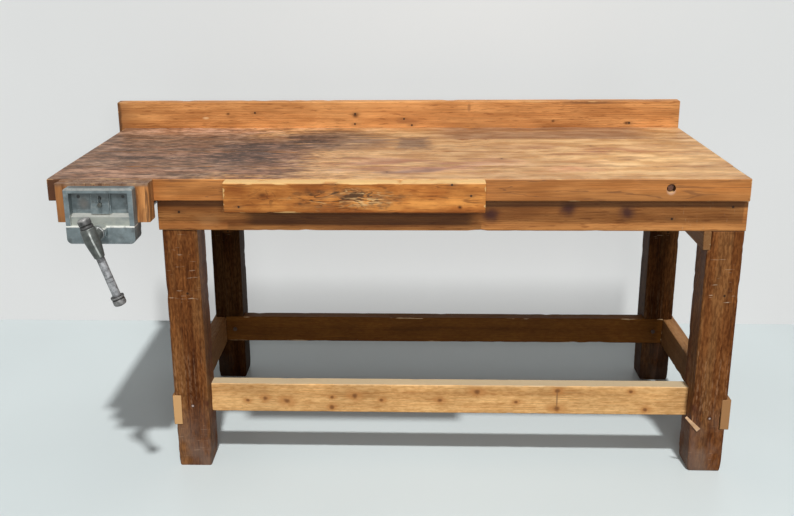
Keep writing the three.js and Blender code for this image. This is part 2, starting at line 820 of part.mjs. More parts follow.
function addDog() {
  const half = dogWidth / 2;
  const back = trayFloor - fit;
  const slotTop = dogTop - dogSlotDrop;
  const knobHeight = dogBottom + knobRise;
  const slotHalf = dogSlotWidth / 2;
  const plate = cut(
    block([-half, dogFront, dogBottom], [half, back, dogTop]),
    block([-slotHalf, dogFront - past, knobHeight], [slotHalf, back + past, slotTop]),
    pin(knobShankRadius + fit, "y", dogFront - past, back + past, [0, 0, knobHeight]),
  );
  piece("vise_dog", plate, paintedIron, vise);
  const knob = join(
    pin(knobShankRadius, "y", dogFront - fit - past, back, [0, 0, knobHeight]),
    pin(knobRadius, "y", dogFront - fit - knobLength, dogFront - fit, [0, 0, knobHeight]),
  );
  piece("dog_thumb_screw", knob, darkIron, vise);
}

const nutEnd = guideTubeLength + fit + nutFlangeThickness;
const yokeFront = nutEnd + jawTravel + yokeClear;
const yokeBack = yokeFront + yokeThickness;
const guideEnd = yokeBack + fit + yokeHexThickness + guideEndProud;

function addGuides() {
  ["left", "right"].forEach((name, index) => {
    const centre = [guideX[index], 0, 0];
    const front = guideSocketFront + fit;
    const rod = join(
      bar(guideRadius, "y", front, yokeFront - fit, centre),
      pin(guideEndRadius, "y", front, guideEnd, centre),
    );
    piece(`${name}_guide_rod`, rod, brightSteel, vise);
    const nut = cut(
      bar(yokeHexRadius, "y", yokeBack + fit, yokeBack + fit + yokeHexThickness, centre, hexSides),
      pin(guideEndRadius + fit, "y", yokeBack, guideEnd, centre),
    );
    piece(`${name}_yoke_nut`, nut, brightSteel, vise);
  });
  const half = yokeWidth / 2;
  const halfHeight = yokeHeight / 2;
  const outline = roundedOutline(-half, half, -halfHeight, halfHeight, yokeCornerRadius, yokeCornerRadius);
  const yoke = cut(
    prism(outline, "z", -yokeBack, -yokeFront).rotate([90, 0, 0]),
    ...guideX.map((x) => pin(guideEndRadius + fit, "y", yokeFront - past, yokeBack + past, [x, 0, 0])),
    bar(screwRadius + screwClear, "y", yokeFront - past, yokeBack + past),
  );
  piece("rear_yoke", yoke, paintedIron, vise);
}

const shoulderFront = bossFront - fit - screwShoulderLength;
const handleY = shoulderFront - hubReach;
const hubBack = shoulderFront - fit;
const socketEnd = hubBack - hubSocketDepth;

function addScrew() {
  const tail = yokeBack + screwTailProud;
  const groove = cut(
    bar(screwRadius + past, "y", garterFront - fit, garterBack + fit),
    bar(screwGrooveRadius, "y", garterFront - past, garterBack + past),
  );
  const screw = join(
    cut(bar(screwRadius, "y", socketEnd + fit, tail), groove),
    bar(screwShoulderRadius, "y", shoulderFront, bossFront - fit),
  );
  piece("lead_screw", screw, brightSteel, vise);
  const throat = screwGrooveRadius + running;
  const garter = cut(
    blockOf([-garterWidth / 2, garterWidth / 2], [garterFront, garterBack], [jawBottom, garterTop]),
    bar(throat, "y", garterFront - past, garterBack + past),
    blockOf([-throat, throat], [garterFront - past, garterBack + past], [0, garterTop + past]),
  );
  piece("screw_garter", garter, darkIron, vise);
}

// The handle's group stands on the screw's axis, with Z along the bar.
const crank = new THREE.Group();
crank.position.set(0, handleY, 0);
crank.rotation.y = THREE.MathUtils.degToRad(-handleTilt);
vise.add(crank);

function addHandle() {
  const neckEnd = hubBack - handleY;
  const body = turned([
    [0, -hubBottom],
    [hubBottomRadius - castEase, -hubBottom],
    [hubBottomRadius, -hubBottom + castEase],
    [hubMiddleRadius - castEase, -hubNeckRadius],
    [hubMiddleRadius, 0],
    [hubTopRadius, hubTop - castEase],
    [hubTopRadius - castEase, hubTop],
    [0, hubTop],
  ]);
  const hub = cut(
    join(body, bar(hubNeckRadius, "y", 0, neckEnd)),
    bar(pipeRadius + running, "z", -hubBottom - past, hubTop + past),
    bar(screwRadius + fit, "y", socketEnd - handleY, neckEnd + past),
  );
  piece("handle_hub", hub, darkIron, crank);

  const upperSeat = hubTop + fit;
  const lowerSeat = -hubBottom - fit - handleTravel;
  const pipeTop = upperSeat + capSocketDepth - fit;
  const pipeBottom = lowerSeat - capSocketDepth + fit;
  const pipe = cut(
    bar(pipeRadius, "z", pipeBottom, pipeTop),
    bar(pipeBoreRadius, "z", pipeBottom - past, pipeTop + past),
  );
  piece("handle_pipe", pipe, brightSteel, crank);
  const cap = cut(
    turned([
      [0, 0],
      [capRimRadius, 0],
      [capRimRadius, capRimHeight],
      [capRadius, capRimHeight + castEase],
      [capRadius, capLength - capCrown],
      [capRadius - capCrown, capLength],
      [0, capLength],
    ]),
    bar(pipeRadius + fit, "z", -past, capSocketDepth),
  );
  piece("upper_pipe_cap", cap.translate([0, 0, upperSeat]), brightSteel, crank);
  piece("lower_pipe_cap", cap.mirror([0, 0, 1]).translate([0, 0, lowerSeat]), brightSteel, crank);
}

addTop();
addEdgeBoards();
addLegs();
addAprons();
addUpperRails();
addSideStretchers();
addLongStretchers();
addFixedVise();
addLiners();
addFrontJaw();
addDog();
addGuides();
addScrew();
addHandle();

// The part's origin is the middle of its footprint, on the floor.
bench.updateMatrixWorld(true);
const extent = new THREE.Box3().setFromObject(bench, true);
const middle = extent.getCenter(new THREE.Vector3());
bench.position.set(-middle.x, -middle.y, -extent.min.z);

export default bench;
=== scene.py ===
# %% [markdown]
# # A workbench with a front vise
# The bench is a thick pine top on a dark frame, with an iron vise under its left end. Its measured pieces
# come from the CAD model, which is loaded first and never changed. Each dressed piece below starts as a
# merged copy of a measured one, or is spun and bevelled afresh in the same place, and stands in for it.

# %% Load the measured bench
import json
import math

import bmesh
import bpy
from mathutils import Matrix, Vector, noise


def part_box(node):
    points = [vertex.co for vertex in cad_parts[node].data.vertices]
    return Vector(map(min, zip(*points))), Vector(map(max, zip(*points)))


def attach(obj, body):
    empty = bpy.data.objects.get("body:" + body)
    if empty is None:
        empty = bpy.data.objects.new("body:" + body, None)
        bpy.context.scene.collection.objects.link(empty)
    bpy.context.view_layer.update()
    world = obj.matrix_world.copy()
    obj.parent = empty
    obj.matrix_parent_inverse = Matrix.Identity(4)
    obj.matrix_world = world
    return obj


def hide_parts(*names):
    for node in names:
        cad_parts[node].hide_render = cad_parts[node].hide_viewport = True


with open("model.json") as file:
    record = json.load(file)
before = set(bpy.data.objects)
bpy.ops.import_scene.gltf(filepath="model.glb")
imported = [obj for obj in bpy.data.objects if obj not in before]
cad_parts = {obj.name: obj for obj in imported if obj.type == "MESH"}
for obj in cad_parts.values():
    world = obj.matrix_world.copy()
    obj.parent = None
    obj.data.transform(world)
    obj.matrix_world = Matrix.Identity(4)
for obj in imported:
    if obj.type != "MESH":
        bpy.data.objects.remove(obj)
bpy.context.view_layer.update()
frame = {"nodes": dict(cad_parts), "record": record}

# %% [markdown]
# ## Camera, light and floor
# A camera that matches a photograph is a place, three turns and a lens. All of them were fitted to the
# corners of the top, the legs and the cleat, so the render can be laid over the photograph. The lens's
# axis meets the picture a little above its middle, and Blender calls that shift.

# %% Camera
IMAGE_WIDTH, IMAGE_HEIGHT = 794, 516
SENSOR_WIDTH = 36.0
FOCAL_PIXELS = 930.1
LENS_CENTRE = (379.0, 210.2)
EYE = Vector((0.0492, -2.6257, 1.4483))
PAN, TILT, ROLL = 0.0377, math.pi / 2 - 0.2782, -0.0089

scene = bpy.context.scene
scene.view_settings.view_transform = "Standard"
camera = bpy.data.objects.new("photo_camera", bpy.data.cameras.new("photo_camera"))
camera.data.sensor_width = SENSOR_WIDTH
camera.data.lens = SENSOR_WIDTH * FOCAL_PIXELS / IMAGE_WIDTH
camera.data.shift_x = (IMAGE_WIDTH / 2 - LENS_CENTRE[0]) / IMAGE_WIDTH
camera.data.shift_y = (LENS_CENTRE[1] - IMAGE_HEIGHT / 2) / IMAGE_WIDTH
turn = Matrix.Rotation(PAN, 4, "Z") @ Matrix.Rotation(TILT, 4, "X") @ Matrix.Rotation(ROLL, 4, "Z")
camera.matrix_world = Matrix.Translation(EYE) @ turn
scene.collection.objects.link(camera)
scene.camera = camera
print("lens", round(camera.data.lens, 2), "mm")

# %% [markdown]
# A high lamp in front, like one on a ceiling, lights the top and throws the shadow under the bench. It is
# a sun, so it is as bright on the floor as on the top. A lower softbox lights the front faces and leaves
# only a narrow shadow under the overhang. The sky is a plain, pale, cool grey. What the camera and shiny
# metal see of it is brighter than what lights the bench, so the room reads as white and the wood keeps
# its colour.


# %% Light
BENCH_MIDDLE = Vector((0.0, 0.0, 0.6))
CEILING_PLACE, CEILING_STRENGTH, CEILING_SPREAD = (0.2, -1.87, 4.7), 2.4, math.radians(3)
SOFTBOX_PLACE, SOFTBOX_WATTS, SOFTBOX_WIDTH, SOFTBOX_HEIGHT = (0.4, -4.2, 2.0), 66, 2.0, 1.0


def soft_lamp(name, kind, place, strength, **sizes):
    """A lamp that looks at the middle of the bench."""
    lamp = bpy.data.lights.new(name, kind)
    lamp.energy = strength
    for setting, value in sizes.items():
        setattr(lamp, setting, value)
    held = bpy.data.objects.new(name, lamp)
    held.location = place
    held.rotation_euler = (BENCH_MIDDLE - Vector(place)).to_track_quat("-Z", "Y").to_euler()
    scene.collection.objects.link(held)


soft_lamp("ceiling_lamp", "SUN", CEILING_PLACE, CEILING_STRENGTH, angle=CEILING_SPREAD)
softbox = {"shape": "RECTANGLE", "size": SOFTBOX_WIDTH, "size_y": SOFTBOX_HEIGHT}
soft_lamp("front_softbox", "AREA", SOFTBOX_PLACE, SOFTBOX_WATTS, **softbox)

SKY = (0.93, 0.96, 1.0, 1.0)
SKY_LIGHT, SKY_SEEN = 0.15, 0.74
world = bpy.data.worlds.new("pale_room")
world.use_nodes = True
sky_nodes, sky_links = world.node_tree.nodes, world.node_tree.links
sky_nodes["Background"].inputs["Color"].default_value = SKY


def seen_rays(nodes, links):
    """1 on rays from the camera, also by way of a mirror or glass, and 0 on rays that only carry light."""
    path = nodes.new("ShaderNodeLightPath")
    seen = path.outputs["Is Camera Ray"]
    for name in ("Is Glossy Ray", "Is Transmission Ray"):
        either = nodes.new("ShaderNodeMath")
        either.operation = "MAXIMUM"
        links.new(seen, either.inputs[0])
        links.new(path.outputs[name], either.inputs[1])
        seen = either.outputs[0]
    return seen


level = sky_nodes.new("ShaderNodeMapRange")
level.inputs["To Min"].default_value = SKY_LIGHT
level.inputs["To Max"].default_value = SKY_SEEN
sky_links.new(seen_rays(sky_nodes, sky_links), level.inputs["Value"])
sky_links.new(level.outputs[0], sky_nodes["Background"].inputs["Strength"])
scene.world = world

# %% [markdown]
# ## A small kit for finishes
# Blender materials are graphs of nodes. Written out one link at a time they are long and hard to read, so
# this class adds a node, feeds its sockets and hands back its output in one call. Every pattern reads
# Object coordinates. The pieces all sit at the origin, so those are metres on the bench itself.


# %% Finish: one material, node by node
RAGGED = (45, 45, 45)  # how finely the edge of a spot is torn, per metre


class Finish:
    def __init__(self, name):
        self.material = bpy.data.materials.new(name)
        self.material.use_nodes = True
        self.tree = self.material.node_tree
        self.shader = self.tree.nodes["Principled BSDF"]
        self.place = self.node("TexCoord").outputs["Object"]
        self.colour = (0.5, 0.5, 0.5)
        self.height = None

    def feed(self, socket, value):
        if isinstance(value, bpy.types.NodeSocket):
            self.tree.links.new(value, socket)
        elif socket.type == "RGBA":
            socket.default_value = (*value, 1.0)
        else:
            socket.default_value = value

    def node(self, kind, settings=None, sockets=None):
        made = self.tree.nodes.new("ShaderNode" + kind)
        for name, value in (settings or {}).items():
            setattr(made, name, value)
        for name, value in (sockets or {}).items():
            self.feed(made.inputs[name], value)
        return made

    def give(self, socket, value):
        """Sets or links one of the shader's own sockets."""
        self.feed(self.shader.inputs[socket], value)

    def calc(self, operation, a, b=0.0):
        return self.node("Math", {"operation": operation}, {0: a, 1: b}).outputs[0]

    def both(self, a, b):
        """A mask that is 1 only where two others are."""
        return self.calc("MULTIPLY", a, b)

    def parts(self, vector):
        return self.node("SeparateXYZ", {}, {0: vector}).outputs

    def vector(self, operation, a, b, c=(0, 0, 0)):
        return self.node("VectorMath", {"operation": operation}, {0: a, 1: b, 2: c}).outputs[0]

    def band(self, value, start, end, low=0.0, high=1.0):
        """A smooth step from low to high while value goes from start to end."""
        ranges = {"Value": value, "From Min": start, "From Max": end, "To Min": low, "To Max": high}
        return self.node("MapRange", {"interpolation_type": "SMOOTHSTEP"}, ranges).outputs[0]

    def noise(self, stretch, detail=3.0, seed=0.0, at=None, swirl=0.0):
        """A soft random pattern, with its frequency per metre on each axis."""
        placed = {"Vector": at or self.place, "Location": (seed, 1.7 * seed, -seed), "Scale": stretch}
        spot = self.node("Mapping", {}, placed).outputs[0]
        settings = {"Vector": spot, "Scale": 1.0, "Detail": detail, "Distortion": swirl}
        return self.node("TexNoise", {}, settings).outputs[0]

    def lines(self, stretch, width, seed=0.0, at=None, swirl=0.0):
        """Thin wandering lines, which are where a noise passes its middle value."""
        pattern = self.noise(stretch, 3.0, seed, at, swirl)
        off = self.calc("ABSOLUTE", self.calc("SUBTRACT", pattern, 0.5))
        return self.band(off, width, 0.3 * width)

    def mix(self, amount, a, b, blend="MIX"):
        made = self.node("Mix", {"data_type": "RGBA", "blend_type": blend})
        for index, value in ((0, amount), (6, a), (7, b)):
            self.feed(made.inputs[index], value)
        return made.outputs[2]

    def paint(self, mask, colour, amount):
        """Lays a colour over what is there, where the mask is 1."""
        self.colour = self.mix(self.calc("MULTIPLY", mask, amount), self.colour, colour)

    def shade(self, pattern, start, end, low, high):
        """Darkens or brightens by a pattern."""
        self.colour = self.mix(1.0, self.colour, self.band(pattern, start, end, low, high), "MULTIPLY")

    def tone(self, pattern, start, end, low, high):
        """Multiplies by a tint between low and high. Old wood gets redder as it gets darker."""
        tint = self.mix(self.band(pattern, start, end), low, high)
        self.colour = self.mix(1.0, self.colour, tint, "MULTIPLY")

    def between(self, value, low, high, soft):
        """A mask that is 1 while a value lies between two limits."""
        return self.both(self.band(value, low - soft, low), self.band(value, high + soft, high))

    def spot(self, centre, reach, soft=0.5, ragged=0.25, square=False, at=None):
        """A mask that is 1 at a place and fades out at its reach on each axis."""
        near = {"Vector": at or self.place, "Location": centre, "Scale": reach}
        local = self.node("Mapping", {"vector_type": "TEXTURE"}, near).outputs[0]
        if square:
            parts = self.parts(self.vector("ABSOLUTE", local, (0, 0, 0)))
            far = self.calc("MAXIMUM", self.calc("MAXIMUM", parts[0], parts[1]), parts[2])
        else:
            far = self.node("VectorMath", {"operation": "LENGTH"}, {0: local}).outputs["Value"]
        torn = self.noise(RAGGED, 3.0, sum(centre))
        edge = self.calc("MULTIPLY_ADD", torn, ragged)
        self.feed(edge.node.inputs[2], self.calc("SUBTRACT", far, ragged / 2))
        return self.band(edge, 1.0, 1.0 - soft)

    def dab(self, centre, reach, soft, ragged, colour, amount):
        """Paints a spot."""
        self.paint(self.spot(centre, reach, soft, ragged), colour, amount)

    def worn_edges(self):
        """The wear that a piece's mesh carries on its bevelled faces."""
        return self.node("Attribute", {"attribute_name": "wear"}).outputs["Fac"]

    def close(self, polish, dull, strength, depth):
        """Feeds the shader: colour, a roughness between two values, and bump."""
        self.give("Base Color", self.colour)
        self.give("Roughness", self.band(self.height, 0.2, 0.8, polish, dull))
        relief = {"Strength": strength, "Distance": depth, "Height": self.height}
        self.give("Normal", self.node("Bump", {}, relief).outputs[0])
        return self.material


print("finish kit ready")

# %% [markdown]
# ## Floor and wall
# The bench stands on a pale, slightly glossy floor before a pale wall. Both are large grids. White
# surroundings would throw light up under the top, so rays that only carry light find them darker than the
# camera does. Both are clear from behind, so the bench can be looked at from every side.


# %% Pale floor and wall
WALL_LINE = 0.82
STAGE_HALF = 60.0


def stage_finish(name, pale, glow=0.0, shaded=(0.22, 0.225, 0.225)):
    """A pale sheet, clear from behind. Its glow is only for seen rays and lightens the shadow on it."""
    finish = Finish(name)
    seen = seen_rays(finish.tree.nodes, finish.tree.links)
    finish.colour = finish.mix(seen, shaded, [(1 - glow) * c for c in pale])
    finish.give("Emission Color", pale)
    finish.give("Emission Strength", finish.calc("MULTIPLY", seen, glow))
    finish.give("Specular IOR Level", 0.3)
    cloud = finish.noise((0.9, 0.9, 0.9), 2.0)
    finish.shade(cloud, 0.3, 0.7, 0.96, 1.03)
    finish.height = finish.noise((260, 260, 260), 2.0)
    finish.close(0.3, 0.38, 0.02, 0.001)
    sides = {0: finish.node("NewGeometry").outputs["Backfacing"], 1: finish.shader.outputs[0]}
    sides[2] = finish.node("BsdfTransparent").outputs[0]
    surface = finish.tree.nodes["Material Output"].inputs["Surface"]
    finish.feed(surface, finish.node("MixShader", {}, sides).outputs[0])
    return finish.material


def stage_sheet(name, finish, place):
    bm = bmesh.new()
    bmesh.ops.create_grid(bm, x_segments=2, y_segments=2, size=STAGE_HALF, matrix=place)
    mesh = bpy.data.meshes.new(name)
    bm.to_mesh(mesh)
    bm.free()
    mesh.materials.append(finish)
    sheet = bpy.data.objects.new(name, mesh)
    scene.collection.objects.link(sheet)


stage_sheet("floor", stage_finish("pale_floor", (0.675, 0.74, 0.74)), Matrix())
upright = Matrix.Translation((0.0, WALL_LINE, STAGE_HALF)) @ Matrix.Rotation(math.pi / 2, 4, "X")
stage_sheet("wall", stage_finish("pale_wall", (0.86, 0.875, 0.865), 0.42), upright)
print("stage", 2 * STAGE_HALF, "m wide, wall at", WALL_LINE)

# %% [markdown]
# ## Pine
# All the wood is pine. A board is cut out of a round trunk, so its figure is the trunk's growth rings
# seen through the cut: long stripes on the sides and arcs on the ends. A ring texture about a line beside
# the board, the pith, gives both at once, which a flat picture of wood can't. Noise bends the rings,
# knots push them aside, and finer noises stretched along the grain add streaks, fibres and pores. Bare
# wood then shows in patches along the edges of the board's box.


# %% Pine: rings, fibres and knots
WAVE_LENGTH = math.pi / 10  # metres from ring to ring in a wave texture with a scale of 1


class Pine(Finish):
    def __init__(self, name, early, late, pith, along=0, ring=0.006, seed=0.0, knots=(), bend=0.05,
                 figure=0.6, pore=0.62, contrast=1.0):
        super().__init__(name)
        axes = self.parts(self.place)
        order = [along] + [axis for axis in range(3) if axis != along]
        turned = {slot: axes[axis] for slot, axis in enumerate(order)}
        grain = self.node("CombineXYZ", {}, turned).outputs[0]
        self.axes = axes
        self.grain = grain
        self.seed = seed
        self.give("Specular IOR Level", 0.22)
        drift = self.noise((1.1, 6.0, 6.0), 3.0, seed, grain).node.outputs["Color"]
        bent = self.vector("MULTIPLY_ADD", drift, (0.0, bend, bend), grain)
        for centre, reach in knots:
            halo = self.spot(centre, [2.2 * r for r in reach], 1.0, 0.3)
            push = 0.7 * sorted(reach)[0]
            bent = self.vector("MULTIPLY_ADD", halo, (0.0, push, 1.3 * push), bent)
        trunk = self.vector("SUBTRACT", bent, (0.0, *pith))
        wave = {"wave_type": "RINGS", "rings_direction": "X", "wave_profile": "SAW"}
        spacing = {"Vector": trunk, "Scale": WAVE_LENGTH / ring}
        spacing |= {"Distortion": 3.0, "Detail": 3.0, "Detail Scale": 1.5}
        rings = self.node("TexWave", wave, spacing).outputs[1]
        clear = self.noise((1.4, 13.0, 13.0), 3.0, seed + 6.2, grain)
        self.rings = self.both(self.band(rings, 0.1, 1.0), self.band(clear, 0.36, 0.64, 0.15, 1.0))
        self.streak = self.noise((1.1, 34.0, 34.0), 4.0, seed + 3.1, grain)
        self.mottle = self.noise((7.0, 30.0, 30.0), 5.0, seed + 8.8, grain)
        self.fibre = self.noise((9.0, 380.0, 380.0), 3.0, seed + 5.7, grain)
        self.colour = self.mix(self.calc("MULTIPLY", self.rings, figure), early, late)
        self.paint(self.band(self.streak, 0.5, 0.72), late, 0.6)
        paler = [1 + contrast * c for c in (0.16, 0.18, 0.21)]
        deeper = [1 - contrast * c for c in (0.21, 0.285, 0.36)]
        self.tone(self.streak, 0.28, 0.72, paler, deeper)
        self.tone(self.mottle, 0.28, 0.72, deeper, paler)
        self.shade(self.fibre, 0.25, 0.75, 0.84, 1.12)
        pores = self.noise((22.0, 210.0, 210.0), 4.0, seed + 2.4, grain)
        self.tone(pores, 0.56, 0.68, (1.0, 1.0, 1.0), (pore + 0.04, pore - 0.03, pore - 0.08))
        rough = self.calc("MULTIPLY_ADD", self.rings, 0.3)
        self.feed(rough.node.inputs[2], self.calc("MULTIPLY", self.fibre, 0.7))
        self.height = rough
        for centre, reach in knots:
            self.dab(centre, [1.3 * r for r in reach], 0.8, 0.5, [0.5 * c for c in late], 0.8)
            self.dab(centre, [0.6 * r for r in reach], 0.7, 0.5, [0.22 * c for c in late], 0.9)

    def from_arris(self, box):
        """Metres from the nearest edge of a box, for a point on its surface."""
        gaps = []
        for axis in range(3):
            middle, half = (box[0][axis] + box[1][axis]) / 2, (box[1][axis] - box[0][axis]) / 2
            off = self.calc("ABSOLUTE", self.calc("SUBTRACT", self.axes[axis], middle))
            gaps.append(self.calc("SUBTRACT", half, off))
        lesser = self.calc("MINIMUM", gaps[0], gaps[1])
        greater = self.calc("MAXIMUM", gaps[0], gaps[1])
        return self.calc("MAXIMUM", lesser, self.calc("MINIMUM", greater, gaps[2]))

    def wear(self, fresh, amount, box, reach=0.006, share=0.5):
        """Bare, paler wood on a share of the arrises, in torn patches and not like a drawn line."""
        torn = self.noise((11.0, 60.0, 60.0), 5.0, self.seed + 9.3, self.grain)
        patch = self.band(torn, 0.66 - 0.36 * share, 0.86 - 0.36 * share, 0.0, reach)
        bare = self.band(self.calc("SUBTRACT", patch, self.from_arris(box)), 0.0, 0.4 * reach)
        self.paint(bare, fresh, amount)

    def facing(self, axis):
        """How squarely a face looks along an axis, from -1 to 1."""
        return self.parts(self.node("TexCoord").outputs["Normal"])[axis]

    def end_grain(self, colour, along=0, amount=0.6):
        """A deeper tone on the sawn ends."""
        self.paint(self.band(self.calc("ABSOLUTE", self.facing(along)), 0.75, 0.95), colour, amount)

    def scratches(self, mask, colour, amount=0.6):
        """Fine pale lines across the grain."""
        lines = self.noise((260.0, 26.0, 26.0), 2.0, self.seed + 1.9, self.grain)
        self.paint(self.both(self.band(lines, 0.66, 0.74), mask), colour, amount)


print("pine ready")

# %% [markdown]
# ## The finishes of the boards
# The backsplash is honey-coloured, with a darker left end, small knots and a few nail holes. Such marks
# could be drawn on a flat picture. Here each is a soft spot at a place in metres, so it stays put and has
# depth: a knot goes on through the board.

# %% Backsplash
def nail_holes(finish, places, radius=0.0046):
    """Dark holes, each with a brown stain that has crept along the grain."""
    for place in places:
        finish.dab(place, (6 * radius, 6 * radius, 2.2 * radius), 1.0, 0.5, (0.22, 0.09, 0.03), 0.5)
        finish.dab(place, (radius,) * 3, 0.5, 0.3, (0.02, 0.012, 0.008), 0.92)


def backsplash_pine():
    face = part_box("backsplash")[0].y
    deep = 0.2
    knots = [((0.51, face, 0.885), (0.008, deep, 0.006)), ((-0.565, face, 0.911), (0.009, deep, 0.006)),
             ((-0.142, face, 0.905), (0.012, deep, 0.009)), ((0.75, face, 0.878), (0.011, deep, 0.006))]
    honey, amber = (0.74, 0.355, 0.12), (0.50, 0.195, 0.056)
    wood = Pine("backsplash_pine", honey, amber, (0.62, 0.74), seed=1.3, knots=knots)
    wood.paint(wood.band(wood.axes[0], -0.86, -0.94), (0.30, 0.115, 0.04), 0.55)
    wood.dab((-0.94, face, 0.89), (0.02, deep, 0.1), 0.4, 0.9, (0.10, 0.04, 0.015), 0.8)
    wood.dab((-0.64, face, 0.897), (0.014, deep, 0.006), 0.7, 0.25, (0.85, 0.55, 0.28), 0.8)
    wood.dab((0.234, face, 0.93), (0.008, deep, 0.02), 0.8, 0.25, (0.32, 0.13, 0.05), 0.6)
    wood.dab((0.03, face, 0.884), (0.06, deep, 0.012), 0.8, 0.6, (0.33, 0.13, 0.045), 0.6)
    wood.dab((0.62, face, 0.945), (0.12, deep, 0.006), 0.6, 0.6, (0.16, 0.07, 0.03), 0.6)
    holes = ((-0.475, 0.914), (-0.142, 0.91), (-0.143, 0.876),
             (0.02, 0.893), (0.046, 0.872), (0.759, 0.878))
    nail_holes(wood, [(x, face, z) for x, z in holes])
    wood.wear((0.74, 0.42, 0.17), 0.6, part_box("backsplash"), 0.005, 0.4)
    wood.end_grain((0.30, 0.13, 0.05))
    return wood.close(0.5, 0.72, 0.3, 0.0012)


backsplash_finish = backsplash_pine()
print(backsplash_finish.name)

# %% [markdown]
# The top tells how the bench was used. Its left part is grey-brown with dirt, ending in ragged streaks,
# and the right part is still honey-yellow. Two dark patches and a square stain lie between them. Each
# plank came out of a different part of the tree, so each gets its own pith and seed, while the dirt runs
# across all four.


# %% Stains on the top
PLANK_PITHS = ((-0.36, 0.70), (0.10, 0.98), (0.24, 0.62), (0.47, 0.97))
FRONT_PLANK, BACK_PLANK = 0, 3
BOLT_X = 0.7135
DARK_PATCH = (0.062, 0.036, 0.026)


def stained_face(wood, index, level):
    """Dirt and blotches, with edges that run out along the grain."""
    x = wood.axes[0]
    streaks = wood.noise((2.2, 26.0, 26.0), 5.0, 4.4, wood.grain)
    blotch = wood.noise((5.0, 15.0, 14.0), 4.0, 8.0, swirl=0.4)
    start = wood.vector("SUBTRACT", wood.place, (0.15, 0.03, 0.0))
    smeared = wood.vector("MULTIPLY_ADD", streaks.node.outputs["Color"], (0.3, 0.06, 0.0), start)

    def stain(pattern, centre, reach, colour, amount, soft, grainy, square=False):
        where = wood.spot((*centre, level), (*reach, 1.0), soft, 0.2, square, smeared)
        wood.paint(wood.both(where, wood.band(pattern, *grainy)), colour, amount)

    stain(blotch, (0.66, -0.03), (0.42, 0.36), (0.96, 0.60, 0.27), 0.9, 0.9, (0.3, 0.52))
    stain(blotch, (0.34, -0.14), (0.36, 0.18), (0.92, 0.58, 0.30), 0.75, 0.9, (0.42, 0.56))
    stain(blotch, (0.48, 0.07), (0.32, 0.12), (0.45, 0.20, 0.085), 0.85, 0.9, (0.44, 0.56))
    stain(blotch, (0.78, 0.08), (0.16, 0.2), (0.52, 0.25, 0.10), 0.7, 0.9, (0.55, 0.45))
    stain(blotch, (0.10, -0.12), (0.36, 0.17), (0.52, 0.25, 0.155), 0.85, 0.8, (0.42, 0.54))
    stain(blotch, (0.02, -0.2), (0.25, 0.09), (0.28, 0.165, 0.14), 0.7, 0.8, (0.5, 0.6))
    stain(blotch, (0.47, -0.15), (0.14, 0.10), (0.62, 0.27, 0.13), 0.85, 0.9, (0.4, 0.55))
    stain(blotch, (0.64, 0.06), (0.17, 0.06), (0.52, 0.22, 0.10), 0.8, 0.9, (0.4, 0.55))
    if index == BACK_PLANK:
        brown = wood.both(wood.band(x, 0.05, 0.2), wood.band(x, 0.86, 0.7))
        wood.paint(wood.both(brown, wood.band(streaks, 0.2, 0.5, 0.5, 1.0)), (0.33, 0.175, 0.095), 0.85)
    stain(streaks, (-0.36, -0.07), (0.16, 0.36), (0.18, 0.088, 0.056), 0.88, 0.5, (0.28, 0.5))
    stain(streaks, (-0.85, 0.05), (0.60, 0.46), (0.19, 0.115, 0.075), 0.93, 0.25, (0.1, 0.3))
    stain(streaks, (-0.2, 0.22), (0.22, 0.22), (0.17, 0.105, 0.07), 0.87, 0.6, (0.3, 0.5))
    stain(streaks, (-0.65, 0.35), (0.36, 0.11), (0.68, 0.42, 0.28), 0.92, 0.8, (0.39, 0.49))
    stain(streaks, (-0.62, -0.22), (0.38, 0.09), (0.50, 0.29, 0.19), 0.85, 0.8, (0.47, 0.56))
    stain(streaks, (-0.62, 0.02), (0.36, 0.16), (0.38, 0.21, 0.14), 0.8, 0.8, (0.49, 0.57))
    stain(streaks, (-0.64, -0.02), (0.38, 0.15), (0.06, 0.036, 0.026), 0.85, 0.8, (0.46, 0.41))
    stain(streaks, (-0.44, 0.03), (0.10, 0.15), DARK_PATCH, 0.92, 0.3, (0.3, 0.46), True)
    stain(streaks, (-0.25, 0.20), (0.08, 0.09), DARK_PATCH, 0.9, 0.3, (0.3, 0.46), True)
    stain(streaks, (-0.36, 0.13), (0.14, 0.05), DARK_PATCH, 0.8, 0.4, (0.3, 0.5), True)
    square_stain = wood.spot((0.05, 0.17, level), (0.066, 0.12, 1.0), 0.6, 0.9, True)
    wood.paint(square_stain, (0.15, 0.095, 0.07), 0.74)
    stain(streaks, (-0.05, 0.2), (0.09, 0.12), (0.28, 0.18, 0.12), 0.75, 0.6, (0.35, 0.55))


print("stains of the top ready")

# %% [markdown]
# Over the stains lies grit: two fine noises darken and lighten the worked left end most. The edges of the
# planks are cleaner and redder than their face, so they get a colour of their own, and how squarely a
# face looks up tells the two apart. One tie bolt sits in a dark recess in the front edge.


